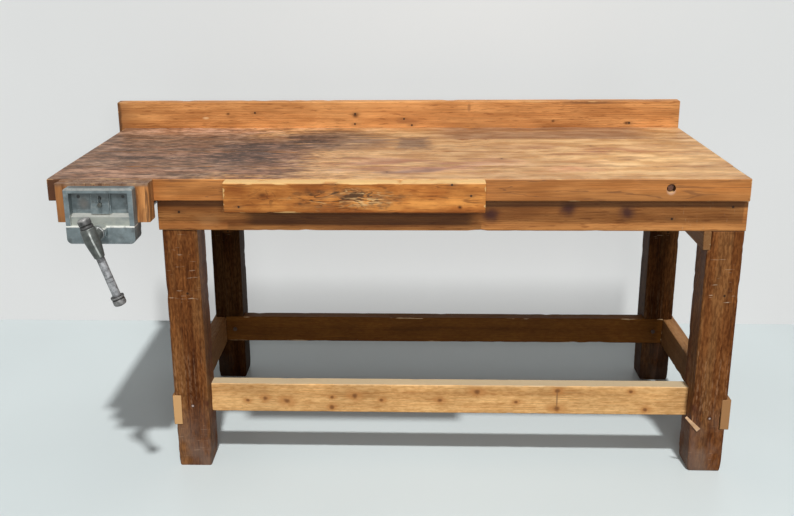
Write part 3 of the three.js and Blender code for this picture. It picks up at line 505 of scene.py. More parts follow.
# %% Grit and edges of the top
def gritty_face(wood):
    clean = wood.colour
    for number, stretch in enumerate(((18.0, 62.0, 50.0), (48.0, 150.0, 100.0))):
        grit = wood.noise(stretch, 5.0, 1.0 + number)
        wood.tone(grit, 0.38, 0.62, (0.68, 0.61, 0.56), (1.2, 1.2, 1.2))
        wood.paint(wood.band(grit, 0.585, 0.615), (0.46, 0.26, 0.175), 0.5)
        wood.paint(wood.band(grit, 0.40, 0.37), (0.05, 0.028, 0.02), 0.5)
    wood.colour = wood.mix(wood.band(wood.axes[0], -0.45, 0.1, 1.0, 0.22), clean, wood.colour)
    mottle = wood.noise((9.0, 24.0, 14.0), 5.0, 8.0)
    wood.tone(mottle, 0.35, 0.65, (0.80, 0.69, 0.58), (1.15, 1.18, 1.21))
    wood.paint(wood.lines((2.6, 26.0, 26.0), 0.010, wood.seed, wood.grain, 0.3), (0.20, 0.09, 0.045), 0.3)


def bare_edge(wood, index):
    """Gives the sides of a plank their own colour and leaves what faces up as it is."""
    worked = wood.colour
    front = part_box("top_plank_1")[0].y
    wood.colour = wood.mix(wood.band(wood.mottle, 0.3, 0.7), (0.46, 0.165, 0.038), (0.66, 0.27, 0.075))
    wood.shade(wood.streak, 0.3, 0.7, 1.12, 0.75)
    wood.shade(wood.fibre, 0.3, 0.7, 0.82, 1.1)
    checks = wood.lines((3.0, 40.0, 40.0), 0.014, wood.seed + 1.0, wood.grain, 0.3)
    wood.paint(checks, (0.20, 0.08, 0.03), 0.6)
    wood.dab((BOLT_X, front, 0.833), (0.014, 0.01, 0.014), 0.5, 0.3, (0.80, 0.52, 0.36), 0.6)
    if index == FRONT_PLANK:
        recess = wood.spot((BOLT_X, front, 0.839), (0.018, 1.0, 0.018), 0.2, 0.0)
        sunk = wood.band(wood.axes[1], front + 0.0005, front + 0.002)
        wood.paint(wood.both(recess, sunk), (0.03, 0.012, 0.007), 0.95)
    wood.paint(wood.band(wood.axes[0], -0.84, -0.88), (0.075, 0.03, 0.016), 0.9)
    wood.colour = wood.mix(wood.band(wood.facing(2), 0.6, 0.9), wood.colour, worked)


def weathered_pine(index):
    name = f"weathered_pine_{index + 1}"
    honey, amber = (0.72, 0.44, 0.205), (0.56, 0.30, 0.13)
    wood = Pine(name, honey, amber, PLANK_PITHS[index], ring=0.009, seed=2.0 + 3.7 * index, bend=0.07,
                figure=0.4, pore=0.8, contrast=0.5)
    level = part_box("top_plank_1")[1].z
    stained_face(wood, index, level)
    gritty_face(wood)
    bare_edge(wood, index)
    for number in (1, 2, 3):
        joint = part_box(f"top_plank_{number}")[1].y
        seam = wood.calc("ABSOLUTE", wood.calc("SUBTRACT", wood.axes[1], joint))
        wood.paint(wood.band(seam, 0.004, 0.0015), (0.12, 0.06, 0.03), 0.5)
    whole = (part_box("top_plank_1")[0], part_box("top_plank_4")[1])
    wood.wear((0.74, 0.46, 0.2), 0.8, whole, 0.006, 0.42)
    wood.end_grain((0.13, 0.06, 0.03), 0, 0.8)
    holes = ((0.30, -0.05), (0.58, 0.12), (-0.02, -0.21), (-0.66, 0.02))
    nail_holes(wood, [(x, y, level) for x, y in holes])
    return wood.close(0.42, 0.68, 0.4, 0.0014)


top_finishes = [weathered_pine(index) for index in range(4)]
print([finish.name for finish in top_finishes])

# %% [markdown]
# The cleat on the front edge is the palest board. Its middle is gouged grey where work was knocked
# against it, its upper edge is worn bright yellow, and one knot swirls at its left end. The gouge is one
# ragged spot with three patterns inside it, for chewed, torn and splintered wood, because one pattern
# alone looks like a smudge.


# %% Cleat
def cleat_pine():
    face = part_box("front_cleat")[0].y
    deep = 0.2
    knots = [((-0.338, face, 0.832), (0.016, deep, 0.010)), ((0.17, face, 0.80), (0.007, deep, 0.006))]
    pale, amber = (0.63, 0.26, 0.058), (0.42, 0.145, 0.028)
    wood = Pine("cleat_pine", pale, amber, (-0.42, 0.78), seed=7.1, knots=knots)
    wood.paint(wood.band(wood.axes[0], 0.0, -0.42), (0.30, 0.105, 0.022), 0.5)
    gouge = wood.spot((-0.125, face, 0.822), (0.175, deep, 0.036), 0.6, 0.9)
    chewed = wood.noise((20.0, 20.0, 70.0), 5.0, 6.0, swirl=0.8)
    wood.paint(wood.both(gouge, wood.band(chewed, 0.40, 0.6)), (0.24, 0.125, 0.055), 0.8)
    torn = wood.lines((11.0, 11.0, 46.0), 0.055, 2.0, swirl=1.2)
    wood.paint(wood.both(gouge, torn), (0.07, 0.035, 0.016), 0.85)
    splinters = wood.lines((9.0, 9.0, 80.0), 0.03, 5.0, swirl=0.8)
    wood.paint(wood.both(gouge, splinters), (0.72, 0.46, 0.2), 0.7)
    swirl_knot = wood.spot((-0.338, face, 0.826), (0.05, deep, 0.034), 0.6, 0.5)
    arcs = wood.lines((20.0, 20.0, 34.0), 0.03, 3.0, swirl=1.0)
    wood.paint(wood.both(swirl_knot, arcs), (0.24, 0.09, 0.022), 0.75)
    wood.paint(wood.lines((2.5, 2.5, 40.0), 0.014, 8.0, swirl=0.3), (0.20, 0.075, 0.02), 0.6)
    handled = wood.noise((12.0, 12.0, 30.0), 5.0, 4.0)
    wood.tone(handled, 0.35, 0.65, (0.72, 0.58, 0.46), (1.18, 1.18, 1.18))
    wood.paint(wood.band(wood.axes[2], 0.860, 0.8635), (0.90, 0.58, 0.24), 0.85)
    wood.wear((0.86, 0.55, 0.22), 0.8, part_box("front_cleat"), 0.006, 0.55)
    holes = ((-0.149, 0.859), (0.149, 0.859), (0.198, 0.83), (-0.40, 0.80))
    nail_holes(wood, [(x, face, z) for x, z in holes], 0.004)
    wood.end_grain((0.42, 0.22, 0.08))
    return wood.close(0.45, 0.7, 0.32, 0.0015)


cleat_finish = cleat_pine()
print(cleat_finish.name)

# %% [markdown]
# The aprons are a warm brown with three dark knots, and on the front one a shadow is painted under the top
# and the cleat. The legs are stained a reddish dark brown, and the rear ones are painted darker still, as
# shade under the top. They have pale scratches where things were dragged past them, grey feet and nail
# holes. One paint for the whole frame would be shorter, but each board gets its own pith and seed, so that
# no two show the same figure.

# %% Aprons and legs
STAIN_EARLY, STAIN_LATE = (0.205, 0.074, 0.02), (0.11, 0.036, 0.009)
# The rear legs are painted darker, as shade under the top.
REAR_SHADE = {"rear_left_leg": 0.2, "rear_right_leg": 0.36}
NAIL_HEADS = {"front_left_leg": (-0.575, 0.191), "front_right_leg": (0.88, 0.165)}


def apron_pine(node, seed):
    low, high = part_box(node)
    face = low.y
    deep = 0.12
    wood = Pine(node + "_pine", (0.53, 0.225, 0.064), (0.34, 0.127, 0.034), (low.y - 0.05, 0.9), seed=seed)
    wood.give("Specular IOR Level", 0.2)
    for x, z in ((0.256, 0.758), (0.458, 0.775), (0.612, 0.767)):
        wood.dab((x, face, z), (0.034, deep, 0.03), 0.9, 0.5, (0.07, 0.022, 0.02), 0.9)
    wood.dab((-0.499, face, 0.743), (0.05, deep, 0.025), 0.9, 0.6, (0.58, 0.28, 0.1), 0.5)
    nail_holes(wood, [(x, face, z) for x, z in ((-0.576, 0.765), (0.73, 0.748), (0.886, 0.781))])
    wood.scratches(wood.spot((0.83, face, 0.75), (0.16, deep, 0.06), 0.6), (0.62, 0.40, 0.22), 0.7)
    if node == "front_apron":
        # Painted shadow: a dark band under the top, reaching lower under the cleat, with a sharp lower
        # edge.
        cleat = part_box("front_cleat")
        cleat_shadow_span = wood.between(wood.axes[0], cleat[0].x + 0.07, cleat[1].x - 0.05, 0.05)
        grime_and_shadow = wood.both(cleat_shadow_span, wood.band(wood.axes[2], high.z - 0.078, high.z - 0.071))
        grime_and_shadow = wood.calc("MAXIMUM", grime_and_shadow, wood.band(wood.axes[2], high.z - 0.028, high.z - 0.02))
        wood.paint(grime_and_shadow, (0.03, 0.008, 0.002), 0.76)
    wood.wear((0.45, 0.24, 0.1), 0.6, (low, high), 0.005, 0.4)
    wood.end_grain((0.16, 0.07, 0.03))
    return wood.close(0.45, 0.7, 0.28, 0.0012)


def leg_pine(node, seed):
    low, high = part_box(node)
    face = low.y
    middle = (low + high) / 2
    # Painted shade: a rear leg's colours, marks and shine are dimmed.
    tone = REAR_SHADE.get(node, 1.0)

    def dimmed_for_shade(colour):
        return [tone * c for c in colour]

    pith = (middle.x + 0.11, middle.y + 0.14)
    wood = Pine(node + "_pine", dimmed_for_shade(STAIN_EARLY), dimmed_for_shade(STAIN_LATE), pith, 2, 0.005, seed)
    wood.give("Specular IOR Level", 0.1 * tone)
    scuff = wood.band(wood.noise((3.0, 24.0, 24.0), 4.0, seed, wood.grain), 0.45, 0.62)
    wood.paint(scuff, dimmed_for_shade((0.33, 0.155, 0.055)), 0.45)
    grit = wood.noise((60.0, 200.0, 200.0), 5.0, seed + 4.0, wood.grain)
    wood.tone(grit, 0.36, 0.64, (0.70, 0.63, 0.55), (1.2, 1.22, 1.2))
    checks = wood.lines((2.2, 60.0, 60.0), 0.03, seed + 1.0, wood.grain, 0.3)
    wood.paint(checks, dimmed_for_shade((0.035, 0.012, 0.005)), 0.4)
    for height, reach, amount in ((0.525, 0.034, 0.8), (0.60, 0.14, 0.35)):
        struck = wood.spot((middle.x, face, height), (0.06, 0.05, reach), 0.6, 0.6)
        wood.scratches(struck, (0.72, 0.55, 0.38), amount * tone)
    dragged = wood.both(wood.between(wood.axes[2], 0.2, 0.32, 0.06), wood.band(grit, 0.4, 0.6))
    drag = wood.lines((1.2, 75.0, 75.0), 0.03, seed + 7.0, wood.grain)
    wood.paint(wood.both(dragged, drag), dimmed_for_shade((0.50, 0.32, 0.19)), 0.25)
    lower = wood.band(wood.axes[2], 0.24, 0.02)
    grime_and_shadow = wood.band(wood.noise((16.0, 16.0, 9.0), 4.0, seed + 2), 0.36, 0.6)
    wood.paint(wood.both(lower, grime_and_shadow), dimmed_for_shade((0.24, 0.165, 0.125)), 0.6)
    wood.scratches(wood.both(lower, grime_and_shadow), (0.60, 0.42, 0.28), 0.5 * tone)
    nail_holes(wood, [(middle.x + 0.01, face, 0.532)], 0.0045)
    if node in NAIL_HEADS:
        x, z = NAIL_HEADS[node]
        wood.dab((x, face, z), (0.008,) * 3, 0.6, 0.5, (0.03, 0.015, 0.01), 0.7)
        wood.dab((x, face, z), (0.0042,) * 3, 0.5, 0.3, (0.62, 0.48, 0.42), 0.85)
        bruise = (high.x if x < 0 else low.x, face, 0.196)
        wood.dab(bruise, (0.016, 0.04, 0.018), 0.8, 0.9, (0.09, 0.028, 0.014), 0.8)
    wood.wear(dimmed_for_shade((0.36, 0.19, 0.09)), 0.7, (low, high), 0.007, 0.45)
    wood.end_grain((0.14, 0.07, 0.04), 2)
    return wood.close(0.45, 0.72, 0.3, 0.0014)


leg_nodes = [f"{end}_{side}_leg" for end in ("front", "rear") for side in ("left", "right")]
frame_finishes = {node: leg_pine(node, 3.0 + 2.3 * number) for number, node in enumerate(leg_nodes)}
for number, node in enumerate(("front_apron", "rear_apron")):
    frame_finishes[node] = apron_pine(node, 11.0 + number)
print(sorted(frame_finishes))

# %% [markdown]
# The front stretcher is lighter than the legs, a tan board with small knots and one crack across it. The
# rear one is nearly as dark as the legs, and the rails, the side stretchers and the packing block are
# brown. They are sawn boards, so one function makes their fine saw marks, and the front board's knots are
# added to it.


# %% Stretchers, rails and packing
def stretcher_pine(node, early, late, seed, along=0):
    low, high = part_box(node)
    across = (low.y - 0.06, high.z + 0.1) if along == 0 else (low.x - 0.07, high.z + 0.08)
    wood = Pine(node + "_pine", early, late, across, along, 0.0055, seed,
                figure=0.4, pore=0.84, contrast=0.55)
    wood.shade(wood.noise((5.0, 5.0, 5.0), 3.0, seed), 0.3, 0.7, 0.88, 1.08)
    sawn = wood.noise((60.0, 200.0, 200.0), 5.0, seed + 4.0, wood.grain)
    wood.tone(sawn, 0.36, 0.64, (0.88, 0.83, 0.76), (1.08, 1.1, 1.12))
    wood.give("Specular IOR Level", 0.12)
    wood.wear((0.85, 0.6, 0.34), 0.6, (low, high), 0.005, 0.4)
    wood.end_grain([0.75 * c for c in late], along, 0.5)
    return wood


def front_stretcher_pine():
    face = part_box("front_stretcher")[0].y
    deep = 0.12
    wood = stretcher_pine("front_stretcher", (0.84, 0.50, 0.205), (0.62, 0.33, 0.12), 5.2)
    pin_knots = ((-0.427, 0.183), (-0.377, 0.190), (-0.313, 0.181), (-0.183, 0.195), (-0.183, 0.163),
                 (-0.116, 0.199), (-0.041, 0.187), (0.128, 0.188), (0.234, 0.215), (0.346, 0.184),
                 (0.461, 0.220), (0.463, 0.166), (0.670, 0.219), (0.714, 0.163))
    for number, (x, z) in enumerate(pin_knots):
        size = (0.009, 0.012, 0.016)[number % 3]
        wood.dab((x, face, z), (2.4 * size, deep, 1.7 * size), 0.9, 0.9, (0.55, 0.235, 0.07), 0.8)
        wood.dab((x, face, z), (0.8 * size, deep, 0.7 * size), 0.8, 1.3, (0.2, 0.08, 0.028), 0.85)
    wood.dab((0.462, face, 0.193), (0.0035, deep, 0.034), 0.6, 0.3, (0.25, 0.13, 0.06), 0.7)
    wood.dab((0.84, face, 0.185), (0.03, deep, 0.03), 0.7, 0.8, (0.2, 0.08, 0.03), 0.75)
    wood.paint(wood.band(wood.facing(2), 0.6, 0.9), (0.56, 0.46, 0.30), 0.85)
    specks = wood.node("TexVoronoi", {}, {"Vector": wood.place, "Scale": 55.0}).outputs["Distance"]
    wood.paint(wood.band(specks, 0.09, 0.04), (0.30, 0.16, 0.07), 0.6)
    return wood.close(0.5, 0.74, 0.3, 0.0012)


board_finishes = {"front_stretcher": front_stretcher_pine()}
rear = stretcher_pine("rear_stretcher", (0.15, 0.056, 0.008), (0.10, 0.034, 0.005), 6.6)
board_finishes["rear_stretcher"] = rear.close(0.5, 0.7, 0.25, 0.001)
SAWN_ENDS = {"left": (0.76, 0.44, 0.19), "right": (0.43, 0.22, 0.09)}
for number, (side, sawn_end) in enumerate(SAWN_ENDS.items()):
    node = f"{side}_side_stretcher"
    lapped = stretcher_pine(node, (0.34, 0.175, 0.07), (0.25, 0.12, 0.045), 8.1 + number, 1)
    lapped.end_grain(sawn_end, 1, 0.92)
    board_finishes[node] = lapped.close(0.5, 0.72, 0.28, 0.0012)
    node = f"{side}_upper_rail"
    rail = stretcher_pine(node, (0.42, 0.22, 0.09), (0.32, 0.15, 0.055), 9.4 + number, 1)
    board_finishes[node] = rail.close(0.5, 0.72, 0.25, 0.001)
packing = stretcher_pine("packing_block", (0.50, 0.29, 0.13), (0.40, 0.2, 0.08), 12.2)
board_finishes["packing_block"] = packing.close(0.55, 0.75, 0.25, 0.001)
print(sorted(board_finishes))

# %% [markdown]
# Two wooden liners keep the iron jaws off the work. Their grain stands upright, so their tops are end
# grain, grey from handling, and dark checks run down from it. Turning the same pine along the height
# gives all of that, and a band under the top lays the grey on.


# %% Jaw liners
def liner_pine(node, seed):
    low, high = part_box(node)
    pith = (high.x + 0.2, low.y - 0.2)
    wood = Pine(node + "_pine", (0.60, 0.265, 0.085), (0.38, 0.15, 0.045), pith, 2, 0.005, seed)
    grey = wood.band(wood.axes[2], high.z - 0.012, high.z - 0.001)
    wood.paint(grey, (0.20, 0.13, 0.09), 0.88)
    wood.paint(wood.lines((2.5, 38.0, 38.0), 0.05, seed, wood.grain, 0.5), (0.12, 0.05, 0.02), 0.75)
    flecks = wood.band(wood.noise((28.0, 110.0, 60.0), 5.0, seed + 3), 0.52, 0.66)
    wood.paint(wood.both(grey, flecks), (0.46, 0.29, 0.19), 0.6)
    wood.paint(wood.band(wood.axes[0], low.x + 0.05, low.x + 0.01), (0.22, 0.09, 0.03), 0.5)
    smudge = wood.band(wood.noise((18.0, 18.0, 18.0), 4.0, seed), 0.5, 0.66)
    wood.paint(smudge, (0.24, 0.12, 0.05), 0.45)
    wood.wear((0.55, 0.34, 0.17), 0.7, (low, high), 0.005, 0.45)
    wood.end_grain((0.40, 0.19, 0.07))
    return wood.close(0.5, 0.75, 0.3, 0.0012)


for number, node in enumerate(("rear_jaw_liner", "front_jaw_liner")):
    board_finishes[node] = liner_pine(node, 14.0 + number)
print("liners", [node for node in board_finishes if "liner" in node])

# %% [markdown]
# ## Iron and steel
# The vise is cast iron under a thin blue-grey paint that has worn through on every raised edge. Sand-cast
# iron is slightly lumpy, which a low, wide noise gives. Where the paint is rubbed pale, where a highlight
# is painted and where shade is painted under the rim depends on the jaw's form, its lip, tray, ledge and
# bead, so the masks take their limits from the measured pieces and would follow a change.


# %% Paint of the vise
jaw_box, dog_box, liner_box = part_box("front_jaw"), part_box("vise_dog"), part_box("front_jaw_liner")
jaw_middle = (jaw_box[0].x + jaw_box[1].x) / 2
LIP_BEFORE_DOG = 0.0137
TRAY_FRONT = dog_box[0].y - LIP_BEFORE_DOG
TRAY_BORDER = 0.0125
PIT = (0.02, 0.018, 0.016)


def cast_skin(iron):
    """Uneven paint over lumpy iron, rubbed and grimy. Hands back the lumps and the clouds."""
    lumps = iron.noise((110, 110, 110), 4.0)
    cloud = iron.noise((28, 28, 40), 5.0, 2.0)
    iron.shade(cloud, 0.3, 0.7, 0.78, 1.16)
    iron.shade(lumps, 0.3, 0.7, 0.9, 1.08)
    rubbed = iron.band(iron.noise((70, 70, 90), 5.0, 5.0), 0.54, 0.7)
    iron.paint(rubbed, (0.32, 0.35, 0.335), 0.4)
    grime_and_shadow = iron.band(iron.noise((34, 34, 34), 5.0, 9.0), 0.54, 0.7)
    iron.paint(grime_and_shadow, (0.06, 0.062, 0.058), 0.5)
    return lumps, cloud


def jaw_front(iron, lumps, cloud):
    """The plain pale band, worn lip, worn ledge and bead with painted highlight, and painted shade under
    the rim.
    """
    x, y, z = iron.parts(iron.place)
    in_front = iron.band(y, liner_box[0].y, liner_box[0].y - 0.004)
    inside = iron.between(x, jaw_box[0].x + TRAY_BORDER, jaw_box[1].x - TRAY_BORDER, 0.001)
    in_tray = iron.both(in_front, inside)
    ledge, bead, top = dog_box[0].z, liner_box[0].z - 0.001, jaw_box[1].z
    plain_band = iron.both(in_tray, iron.between(z, bead, ledge, 0.0015))
    iron.paint(iron.both(plain_band, iron.band(cloud, 0.3, 0.6, 0.4, 1.0)), (0.40, 0.415, 0.36), 0.85)
    lip = iron.band(y, TRAY_FRONT + 0.006, TRAY_FRONT + 0.003)
    # Pale bands: worn paint on the lip, and worn paint with painted highlight on the ledge and the bead.
    worn_and_highlit = ((in_tray, ledge, 0.006, 0.72), (in_front, bead, 0.003, 1.15), (lip, top, 0.0045, 0.62))
    for where, height, fall, light in worn_and_highlit:
        bright = iron.both(where, iron.between(z, height - fall, height, 0.0008))
        pale = [light * c for c in (0.68, 0.68, 0.62)]
        iron.paint(iron.both(bright, iron.band(lumps, 0.3, 0.5, 0.5, 1.0)), pale, 0.85)
    # Painted shade: the tray is darkened just under its rim.
    rim_shade = iron.both(in_tray, iron.band(z, top - 0.036, top - 0.022))
    rim_shade = iron.both(rim_shade, iron.band(y, TRAY_FRONT + 0.003, TRAY_FRONT + 0.006))
    iron.paint(rim_shade, (0.06, 0.064, 0.06), 0.5)


def vise_paint():
    iron = Finish("vise_paint")
    iron.colour = (0.185, 0.227, 0.235)
    lumps, cloud = cast_skin(iron)
    jaw_front(iron, lumps, cloud)
    bare = iron.both(iron.worn_edges(), iron.band(iron.noise((75, 75, 75), 4.0, 3.0), 0.32, 0.5))
    iron.paint(bare, (0.60, 0.62, 0.57), 0.85)
    iron.give("Metallic", iron.band(bare, 0.0, 1.0, 0.05, 0.35))
    for side in (-1, 1):
        hole = (jaw_middle + side * 0.058, dog_box[1].y, jaw_box[1].z - 0.026)
        iron.dab(hole, (0.006, 0.004, 0.006), 0.5, 0.3, PIT, 0.9)
    # Painted shade: the dog's slot and the tray floor behind it are painted nearly black.
    slot = (jaw_middle, dog_box[0].y, 0.829)
    iron.dab(slot, (0.0055, 0.014, 0.0095), 0.35, 0.2, (0.008, 0.008, 0.008), 0.95)
    rust = (jaw_middle - 0.045, dog_box[1].y, 0.812)
    iron.dab(rust, (0.022, 0.006, 0.02), 0.9, 0.8, (0.30, 0.24, 0.19), 0.45)
    iron.height = lumps
    return iron.close(0.38, 0.55, 0.2, 0.0012)


painted_iron = vise_paint()
print(painted_iron.name, "with the jaw's lip at", round(TRAY_FRONT, 4))

# %% [markdown]
# The smaller metal pieces are dark iron, bright steel, or rusted brown or red. They differ in colour,
# gloss and how blotched they are, so one function makes all four.


# %% Bare metals
def bare_metal(name, colour, stretch, shades, gloss, metallic, spots):
    metal = Finish(name)
    metal.colour = colour
    cloud = metal.noise(stretch, 4.0, 1.0)
    metal.shade(cloud, 0.3, 0.7, *shades)
    metal.paint(metal.band(metal.noise((70, 70, 70), 5.0, 4.0), 0.58, 0.72), spots, 0.6)
    metal.paint(metal.worn_edges(), [min(1.0, 1.6 * c) for c in colour], 0.6)
    metal.give("Metallic", metallic)
    metal.height = cloud
    return metal.close(*gloss, 0.12, 0.0008)


# Colour, cloud frequency, darkest and brightest cloud, roughness limits, metallic, colour of the spots.
METALS = {
    "dark_iron": ((0.135, 0.145, 0.132), (60, 60, 60), (0.7, 1.25), (0.32, 0.5), 0.55, (0.09, 0.06, 0.04)),
    "bright_steel": ((0.45, 0.45, 0.44), (30, 160, 30), (0.75, 1.15), (0.24, 0.42), 0.9, (0.2, 0.15, 0.1)),
    "rusty_steel": ((0.07, 0.038, 0.026), (90, 90, 90), (0.7, 1.2), (0.6, 0.85), 0.0, (0.10, 0.04, 0.02)),
    "red_rust": ((0.22, 0.10, 0.06), (90, 90, 90), (0.7, 1.2), (0.6, 0.85), 0.0, (0.08, 0.03, 0.015)),
}
dark_iron, bright_steel, rusty_steel, red_rust = [bare_metal(name, *look) for name, look in METALS.items()]
print(list(METALS))

# %% [markdown]
# The hub is darker iron with a highlight painted along one side. The handle is galvanised water pipe gone
# dull, and its caps are dull steel, with dark rings round them and a highlight painted on the upper one's
# end. These marks follow the handle and not the axes of the bench, so their masks measure the distance
# along the handle's own line, which the record of the joints gives.


# %% Hub and caps
joints = {joint["name"]: joint for joint in frame["record"]["behaviour"]["joints"]}


def along_handle(finish):
    """Distance from the hub's middle along the handle, and across it to the right."""
    middle, axis = joints["screw_turn"]["pos_m"], joints["handle_slide"]["axis"]
    off = finish.vector("SUBTRACT", finish.place, middle)
    across = (axis[2], 0.0, -axis[0])
    return [finish.node("VectorMath", {"operation": "DOT_PRODUCT"}, {0: off, 1: line}).outputs["Value"]
            for line in (axis, across)]


def hub_iron():
    iron = Finish("hub_iron")
    iron.colour = (0.105, 0.112, 0.102)
    cloud = iron.noise((60, 60, 60), 4.0, 1.0)
    iron.shade(cloud, 0.3, 0.7, 0.68, 1.28)
    iron.paint(iron.band(iron.noise((70, 70, 70), 5.0, 4.0), 0.58, 0.72), (0.07, 0.06, 0.05), 0.6)
    along, across = along_handle(iron)
    # Painted highlight: a pale strip along one side of the hub.
    narrow = iron.between(across, 0.0065, 0.0085, 0.0015)
    ridge = iron.both(narrow, iron.between(along, -0.042, 0.012, 0.012))
    iron.paint(iron.both(ridge, iron.band(cloud, 0.35, 0.55, 0.5, 1.0)), (0.62, 0.64, 0.6), 0.8)
    iron.paint(iron.worn_edges(), (0.3, 0.31, 0.29), 0.5)
    iron.give("Metallic", 0.45)
    iron.height = cloud
    return iron.close(0.3, 0.5, 0.2, 0.001)


def ringed_steel(name, colour, grooves, depth=0.9, bare=None):
    """Dull steel with dark rings round the handle, and where asked a patchy painted highlight towards one
    end.
    """
    steel = Finish(name)
    steel.colour = colour
    cloud = steel.noise((110, 110, 110), 4.0, 1.0)
    steel.shade(cloud, 0.3, 0.7, 0.6, 1.3)
    along = along_handle(steel)[0]
    for start, end in grooves:
        steel.paint(steel.between(along, start, end, 0.0012), PIT, depth)
    # Painted highlight: patchy paler metal towards the end given in bare.
    if bare:
        rubbed = steel.both(steel.band(along, *bare), steel.band(cloud, 0.35, 0.55, 0.4, 1.0))
        steel.paint(rubbed, (0.46, 0.45, 0.43), 0.8)
    steel.give("Metallic", 0.4)
    steel.height = cloud
    return steel.close(0.36, 0.55, 0.2, 0.001)


hub_finish = hub_iron()
print(hub_finish.name)

# %% [markdown]
# ## From measured piece to dressed piece
# A measured piece arrives as loose triangles. Merging its corners and dissolving the lines across its
# flat faces gives back the few real edges, and a bevel on those is what catches the light. The bevel's
# new faces are marked with a wear value, so the dents and the worn paint know where an arris is.


# %% Copies, bevels and keeping
SMALL_BEVEL = 0.0006
MERGE = 1e-5
FLAT = math.radians(0.5)


def copy_of(node):
    bm = bmesh.new()
    bm.from_mesh(frame["nodes"][node].data)
    bm.faces.layers.float.new("wear")
    bmesh.ops.remove_doubles(bm, verts=bm.verts, dist=MERGE)
    bmesh.ops.dissolve_limit(bm, angle_limit=FLAT, verts=bm.verts, edges=bm.edges)
    return bm


def bend_at(edge):
    return edge.calc_face_angle(0.0) if edge.is_manifold else 0.0


def ease(bm, width, segments=2, sharp=math.radians(32), choose=lambda edge: True):
    """Bevels the sharp edges, shades the new faces smooth and marks them as worn."""
    for face in bm.faces:
        face.smooth = any(math.radians(1) < bend_at(edge) < sharp for edge in face.edges)
    edges = [edge for edge in bm.edges if bend_at(edge) >= sharp and choose(edge)]
    made = bmesh.ops.bevel(bm, geom=edges, offset=width, offset_type="OFFSET", segments=segments,
                           profile=0.5, affect="EDGES", material=-1, clamp_overlap=True)
    worn = bm.faces.layers.float["wear"]
    for face in made["faces"]:
        face.smooth = True
        face[worn] = 1.0


def keep(name, bm, finish, body, slot, *nodes):
    """Makes the mesh an object that rides on a body and stands for its nodes."""
    mesh = bpy.data.meshes.new(name)
    bm.to_mesh(mesh)
    bm.free()
    mesh.materials.append(finish)
    made = bpy.data.objects.new(name, mesh)
    scene.collection.objects.link(made)
    if nodes:
        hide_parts(*nodes)
    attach(made, body)


print("copy, ease, keep ready")

# %% [markdown]
# ## Boards
# Old boards have no straight edges left. The bevelled copy is cut into short lengths by a row of planes,
# which puts corners along every arris, and noise then presses some of those corners in. Bump alone would
# leave the outline ruler-straight.


# %% A worn board
BOARD_DENTS = 26.0  # frequency of the noise that dents a board, per metre


def slice_along(bm, axis, step):
    low = min(vert.co[axis] for vert in bm.verts)
    high = max(vert.co[axis] for vert in bm.verts)
    normal = Vector([1.0 if index == axis else 0.0 for index in range(3)])
    for number in range(1, int((high - low) / step)):
        point = normal * (low + number * step)
        whole = bm.verts[:] + bm.edges[:] + bm.faces[:]
        bmesh.ops.bisect_plane(bm, geom=whole, dist=1e-6, plane_co=point, plane_no=normal)


def dent(bm, depth, spread, seed):
    """Presses worn corners in where a slow noise is high."""
    worn = bm.faces.layers.float["wear"]
    bm.normal_update()
    for vert in bm.verts:
        if any(face[worn] > 0.5 for face in vert.link_faces):
            hit = noise.fractal(vert.co * spread + Vector((seed, 2 * seed, 0)), 0.9, 2.1, 3)
            vert.co -= vert.normal * depth * max(0.0, hit - 0.2)


def worn_board(node, finish, slot, body="bench", along=0, width=0.0018, depth=0.003, step=0.018, seed=0.0):
    bm = copy_of(node)
    ease(bm, width)
    slice_along(bm, along, step)
    dent(bm, depth, BOARD_DENTS, seed)
    keep(node + "_board", bm, finish, body, slot, node)


for index, finish in enumerate(top_finishes):
    worn_board(f"top_plank_{index + 1}", finish, "worn_top", depth=0.004, seed=index)
worn_board("backsplash", backsplash_finish, "honey_pine", depth=0.004, seed=4.0)
worn_board("front_cleat", cleat_finish, "pale_pine", width=0.0035, depth=0.006, step=0.012, seed=5.0)
for node in ("front_apron", "rear_apron"):
    worn_board(node, frame_finishes[node], "dark_pine", seed=6.0)
print("long boards dressed")

# %% [markdown]
# The shorter boards are dressed in the same way. The side stretchers and the upper rails run from front
# to back, so they are cut along that axis. The front liner rides on the sliding jaw, and the rear one
# stays with the bench.

# %% Short boards
for end, slot in (("front", "pale_pine"), ("rear", "honey_pine")):
    worn_board(f"{end}_stretcher", board_finishes[f"{end}_stretcher"], slot, seed=7.0)
for side in ("left", "right"):
    node = f"{side}_side_stretcher"
    worn_board(node, board_finishes[node], "pale_pine", along=1, seed=8.0)
    node = f"{side}_upper_rail"
    worn_board(node, board_finishes[node], "honey_pine", along=1, seed=9.0)
packing = board_finishes["packing_block"]
worn_board("packing_block", packing, "honey_pine", width=0.001, depth=0.001, seed=10.0)
for end, body, seed in (("rear", "bench", 11.0), ("front", "vise_front", 12.0)):
    node = f"{end}_jaw_liner"
    worn_board(node, board_finishes[node], "honey_pine", body, step=0.012, seed=seed)
print("short boards dressed")

# %% [markdown]
# Legs get the same treatment along their height. Their feet have been dragged over floors for decades, so
# the last few centimetres are drawn in and the corners are rounded off.

# %% Legs with worn feet
FOOT_HEIGHT = 0.035
FOOT_TAPER = 0.07
FOOT_WEAR = 40
LEG_BEVEL, LEG_STEP, LEG_DENT_DEPTH, LEG_DENTS = 0.003, 0.012, 0.004, 22.0


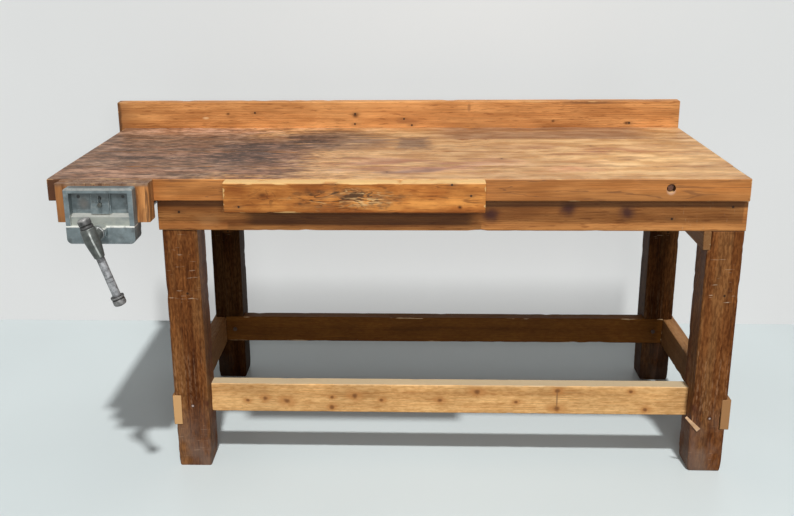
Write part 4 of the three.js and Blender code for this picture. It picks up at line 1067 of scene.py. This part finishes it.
def wear_foot(bm, seed):
    low = Vector([min(vert.co[axis] for vert in bm.verts) for axis in range(3)])
    high = Vector([max(vert.co[axis] for vert in bm.verts) for axis in range(3)])
    middle = (low + high) / 2
    for vert in bm.verts:
        rise = max(0.0, 1.0 - vert.co.z / FOOT_HEIGHT)
        ragged = 0.7 + 0.6 * noise.noise(vert.co * FOOT_WEAR + Vector((seed, 0, 0)))
        draw = FOOT_TAPER * rise * rise * ragged
        vert.co.x += (middle.x - vert.co.x) * draw
        vert.co.y += (middle.y - vert.co.y) * draw


for number, node in enumerate(leg_nodes):
    bm = copy_of(node)
    ease(bm, LEG_BEVEL, 3)
    slice_along(bm, 2, LEG_STEP)
    dent(bm, LEG_DENT_DEPTH, LEG_DENTS, 20.0 + number)
    wear_foot(bm, number)
    keep(node + "_post", bm, frame_finishes[node], "bench", "dark_pine", node)
print("legs dressed")

# %% [markdown]
# Something has torn a splinter from the inner arris of the right front leg, and it still hangs there. A
# cube is drawn out along the tear and pinched at its upper end.

# %% Splinter
TEAR_TOP, TEAR_FOOT = Vector((0.813, -0.2566, 0.171)), Vector((0.851, -0.2566, 0.131))
SPLINTER_WIDTH, SPLINTER_THICKNESS = 0.013, 0.0024
tear = TEAR_FOOT - TEAR_TOP
lean = Matrix.Rotation(math.atan2(-tear.z, tear.x), 4, "Y")
size = Matrix.Diagonal((tear.length, SPLINTER_THICKNESS, SPLINTER_WIDTH, 1.0))
bm = bmesh.new()
bm.faces.layers.float.new("wear")
bmesh.ops.create_cube(bm, size=1.0, matrix=Matrix.Translation((TEAR_TOP + TEAR_FOOT) / 2) @ lean @ size)
tip = [vert for vert in bm.verts if vert.co.x < (TEAR_TOP.x + TEAR_FOOT.x) / 2]
bmesh.ops.scale(bm, vec=(0.5, 1.0, 0.5), space=Matrix.Translation(-TEAR_TOP), verts=tip)
ease(bm, SMALL_BEVEL)
split = Pine("split_pine", (0.82, 0.56, 0.34), (0.6, 0.36, 0.2), (0.7, -0.3), 0, 0.004, 4.0)
keep("leg_splinter", bm, split.close(0.5, 0.75, 0.3, 0.001), "bench", "pale_pine")
print("splinter", round(tear.length * 1000), "mm")

# %% [markdown]
# ## Vise
# The castings keep their measured form. A generous three-step bevel rounds their edges as a sand mould
# would, and the bevel's wear value is where the paint has gone.

# %% Castings
CORNER_ROUND = 0.0045
LIP_DEPTH = 0.001
TOUCH = 1e-4
castings = {
    "front_jaw": (painted_iron, "vise_paint", "vise_front", 0.0016),
    "vise_body": (painted_iron, "vise_paint", "bench", 0.0015),
    "rear_yoke": (painted_iron, "vise_paint", "vise_front", 0.0018),
    "vise_dog": (painted_iron, "vise_paint", "dog", 0.0009),
    "dog_thumb_screw": (dark_iron, "dark_iron", "dog", SMALL_BEVEL),
    "screw_garter": (dark_iron, "dark_iron", "vise_front", SMALL_BEVEL),
    "handle_hub": (hub_finish, "dark_iron", "screw", 0.0016),
    "vise_nut": (bright_steel, "bright_steel", "bench", SMALL_BEVEL),
}


def outer_corner(edge):
    """The upright corners of the jaw's front, which the mould rounds most."""
    ends = [vert.co for vert in edge.verts]
    left, right = jaw_box[0].x, jaw_box[1].x
    at_side = all(min(abs(end.x - left), abs(end.x - right)) < TOUCH for end in ends)
    at_front = all(end.y < TRAY_FRONT + LIP_DEPTH for end in ends)
    return at_side and at_front and abs(ends[0].z - ends[1].z) > abs(ends[0].y - ends[1].y)


for node, (finish, slot, body, width) in castings.items():
    bm = copy_of(node)
    if node == "front_jaw":
        ease(bm, CORNER_ROUND, 5, choose=outer_corner)
    ease(bm, width, 3)
    keep(node + "_casting", bm, finish, body, slot, node)
print("castings", list(castings))

# %% [markdown]
# Bolt heads, nuts and screws are already six-sided or round in the measured model, and their threads are
# hidden in wood or in a nut. A small bevel that catches the light is all they need. Lag screws and tie
# bolts have rusted, the backsplash screws are dark, and the vise's own small screws and nuts are bright.

# %% Fasteners
FASTENER_BEVEL = 0.0005
hexes = [f"{end}_{side}_lag_screw" for end in ("front", "rear") for side in ("left", "right")]
hexes += [f"vise_lag_screw_{end}_{side}" for end in ("front", "rear") for side in ("left", "right")]
fasteners = {node: (rusty_steel, "dark_iron", "bench") for node in hexes}
fasteners |= {f"backsplash_screw_{n}": (dark_iron, "dark_iron", "bench") for n in range(1, 5)}
fasteners |= {f"tie_bolt_{n}": (red_rust, "bright_steel", "bench") for n in range(1, 4)}
fasteners |= {f"tie_nut_{n}": (rusty_steel, "bright_steel", "bench") for n in range(1, 4)}
for side in ("left", "right"):
    fasteners[f"rear_liner_screw_{side}"] = (bright_steel, "bright_steel", "bench")
    fasteners[f"front_liner_screw_{side}"] = (bright_steel, "bright_steel", "vise_front")
    fasteners[f"{side}_yoke_nut"] = (bright_steel, "bright_steel", "vise_front")
for node, (finish, slot, body) in fasteners.items():
    bm = copy_of(node)
    ease(bm, FASTENER_BEVEL)
    keep(node + "_fastener", bm, finish, body, slot, node)
print(len(fasteners), "fasteners dressed")

# %% [markdown]
# ## Turned pieces
# Pipe, caps, rods and the screw are round, and the measured ones have few sides. Spinning half of the
# outline round its axis in many steps makes them look round. The outline is a few corners of radius and
# distance along the axis, which come from how far the corners of the measured piece lie along that axis
# and from it.

# %% Lathe
STEPS = 64
FIT = 0.0003
hub_point = Vector(joints["screw_turn"]["pos_m"])
handle_axis = Vector(joints["handle_slide"]["axis"]).normalized()
screw_axis = Vector((0.0, 1.0, 0.0))


def reach_along(node, point, axis):
    """Lowest and highest distance along an axis, and the largest radius about it."""
    offsets = [vert.co - point for vert in frame["nodes"][node].data.vertices]
    steps = [offset.dot(axis) for offset in offsets]
    radius = max((offset - axis * step).length for offset, step in zip(offsets, steps))
    return min(steps), max(steps), radius


def lathe(outline, point, axis, closed=False):
    side = axis.orthogonal().normalized()
    bm = bmesh.new()
    bm.faces.layers.float.new("wear")
    corners = [bm.verts.new(point + side * radius + axis * along) for radius, along in outline]
    ends = corners[1:] + corners[:1] if closed else corners[1:]
    lines = [bm.edges.new(pair) for pair in zip(corners, ends)]
    bmesh.ops.spin(bm, geom=corners + lines, cent=point, axis=axis, angle=math.tau, steps=STEPS,
                   use_merge=True)
    bmesh.ops.remove_doubles(bm, verts=bm.verts, dist=1e-6)
    bmesh.ops.recalc_face_normals(bm, faces=bm.faces)
    return bm


print("handle axis", handle_axis, "through", hub_point)

# %% [markdown]
# The handle is a length of water pipe with a threaded cap on each end. A pipe cap has a thick rim, a
# shallow groove above it and a domed end. A cylinder and a bevel would miss the groove and the dome, so
# the cap's outline is written as shares of its rim and its length, once for both caps.


# %% Handle pipe and caps
TURNED_BEVEL = 0.0007
BORE_SHARE = 0.74


def turned_piece(node, outline, point, axis, finish, body, slot, closed=False):
    bm = lathe(outline, point, axis, closed)
    ease(bm, TURNED_BEVEL, 3)
    keep(node + "_turned", bm, finish, body, slot, node)


low, high, pipe_radius = reach_along("handle_pipe", hub_point, handle_axis)
pipe_bore = BORE_SHARE * pipe_radius
tube = [(pipe_bore, low), (pipe_radius, low), (pipe_radius, high), (pipe_bore, high)]
stains = ((-0.109, -0.107), (-0.119, -0.118), (-0.062, -0.052))
zinc = ringed_steel("pipe_zinc", (0.36, 0.36, 0.365), stains, 0.5)
turned_piece("handle_pipe", tube, hub_point, handle_axis, zinc, "handle", "galvanised", True)

for node, outward, grey in (("upper_pipe_cap", 1, 0.10), ("lower_pipe_cap", -1, 0.24)):
    low, high, rim = reach_along(node, hub_point, handle_axis)
    length = high - low
    mouth = low if outward > 0 else high
    body_radius = 0.96 * rim
    socket = pipe_radius + FIT
    profile = [(0.0, 0.63), (socket, 0.63), (socket, 0.0), (rim, 0.0), (rim, 0.22), (0.88 * rim, 0.27),
               (0.88 * rim, 0.33), (body_radius, 0.38), (body_radius, 0.78), (0.86 * rim, 0.91),
               (0.62 * rim, 0.98), (0.0, 1.0)]
    outline = [(radius, mouth + outward * share * length) for radius, share in profile]
    dark_rings = ((0.24, 0.36), (-0.04, 0.03))
    grooves = [sorted(mouth + outward * share * length for share in pair) for pair in dark_rings]
    # The upper cap's outer end gets a painted highlight.
    bare = [mouth + outward * share * length for share in (0.7, 0.95)] if outward > 0 else None
    finish = ringed_steel(node + "_steel", (grey, 0.97 * grey, 0.94 * grey), grooves, bare=bare)
    turned_piece(node, outline, hub_point, handle_axis, finish, "handle", "galvanised")
print("pipe radius", pipe_radius)

# %% [markdown]
# Two plain rods keep the jaw square. The back end of each is turned down to a tenon, which goes through
# the yoke and takes a nut, so the rod is one outline on the lathe.

# %% Guide rods
TENON_SHARE = 0.63
for side in ("left", "right"):
    node = f"{side}_guide_rod"
    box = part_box(node)
    point = Vector(((box[0].x + box[1].x) / 2, 0.0, (box[0].z + box[1].z) / 2))
    low, high, radius = reach_along(node, point, screw_axis)
    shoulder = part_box("rear_yoke")[0].y - FIT
    tenon = TENON_SHARE * radius
    rod = [(0.0, low), (radius, low), (radius, shoulder), (tenon, shoulder), (tenon, high), (0.0, high)]
    turned_piece(node, rod, point, screw_axis, bright_steel, "vise_front", "bright_steel")
print("rod radius", radius)

# %% [markdown]
# The lead screw has a shoulder that bears on the jaw and a groove for the forked garter plate, which
# pulls the jaw back out. The record of the joints tells how far one turn moves the jaw, which is the
# thread's lead.

# %% Core of the lead screw
jaw_travel, screw_angle = joints["jaw_slide"]["range_m"][1], joints["screw_turn"]["range_deg"][1]
LEAD = jaw_travel * math.tau / math.radians(screw_angle)
THREAD_DEPTH = 0.0024
SCREW_SHARE = 11 / 17
SHOULDER_LENGTH = 0.0083
GROOVE_DEPTH = 0.0025
THREAD_GAP = 0.002
point = Vector((hub_point.x, 0.0, hub_point.z))
low, high, shoulder_radius = reach_along("lead_screw", point, screw_axis)
screw_radius = SCREW_SHARE * shoulder_radius
groove_radius, core = screw_radius - GROOVE_DEPTH, screw_radius - THREAD_DEPTH
boss_front = jaw_box[0].y
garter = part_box("screw_garter")
thread_from = jaw_box[1].y + THREAD_GAP
outline = [
    (0.0, low), (screw_radius, low),
    (screw_radius, boss_front - SHOULDER_LENGTH), (shoulder_radius, boss_front - SHOULDER_LENGTH),
    (shoulder_radius, boss_front - FIT), (screw_radius, boss_front - FIT),
    (screw_radius, garter[0].y - FIT), (groove_radius, garter[0].y - FIT),
    (groove_radius, garter[1].y + FIT), (screw_radius, garter[1].y + FIT),
    (screw_radius, thread_from), (core, thread_from + THREAD_DEPTH),
    (core, high - THREAD_DEPTH), (core - THREAD_DEPTH, high), (0.0, high),
]
bm = lathe(outline, point, screw_axis)
ease(bm, SMALL_BEVEL)
print("screw radius", round(screw_radius, 5), "lead", round(LEAD * 1000, 2), "mm")

# %% [markdown]
# Its thread has two starts: two ridges wind round the same core, so one turn moves the jaw by two
# pitches. A ridge is a small outline spun many times round while it also steps along the axis, which is
# what the spin operator's dvec does. A screw modifier would do it too, but the ridge joins the core's
# mesh here, as one piece.

# %% Thread of the lead screw
THREAD_STARTS = 2
STEPS_PER_TURN = 36
ROOT_SINK = 0.0004
pitch = LEAD / THREAD_STARTS
root = core - ROOT_SINK
section = [(root, 0.0), (screw_radius, 0.22), (screw_radius, 0.42), (root, 0.62)]
turns = (high - 2 * THREAD_DEPTH - thread_from - pitch) / LEAD
steps = int(STEPS_PER_TURN * turns)
advance = screw_axis * LEAD * turns / steps
for start in range(THREAD_STARTS):
    around = Matrix.Rotation(math.tau * start / THREAD_STARTS, 3, "Y") @ Vector((1.0, 0.0, 0.0))
    corners = []
    for radius, share in section:
        along = screw_axis * (thread_from + share * pitch)
        corners.append(bm.verts.new(point + around * radius + along))
    lines = [bm.edges.new((corners[n], corners[(n + 1) % 4])) for n in range(4)]
    ridge = bmesh.ops.spin(bm, geom=corners + lines, cent=point, axis=screw_axis, dvec=advance,
                           angle=math.tau * turns, steps=steps)
    last = [part for part in ridge["geom_last"] if isinstance(part, bmesh.types.BMEdge)]
    bmesh.ops.contextual_create(bm, geom=lines)
    bmesh.ops.contextual_create(bm, geom=last)
bmesh.ops.recalc_face_normals(bm, faces=bm.faces)
keep("lead_screw_turned", bm, bright_steel, "screw", "bright_steel", "lead_screw")
print("thread turns", round(turns, 2), "in", steps, "steps")
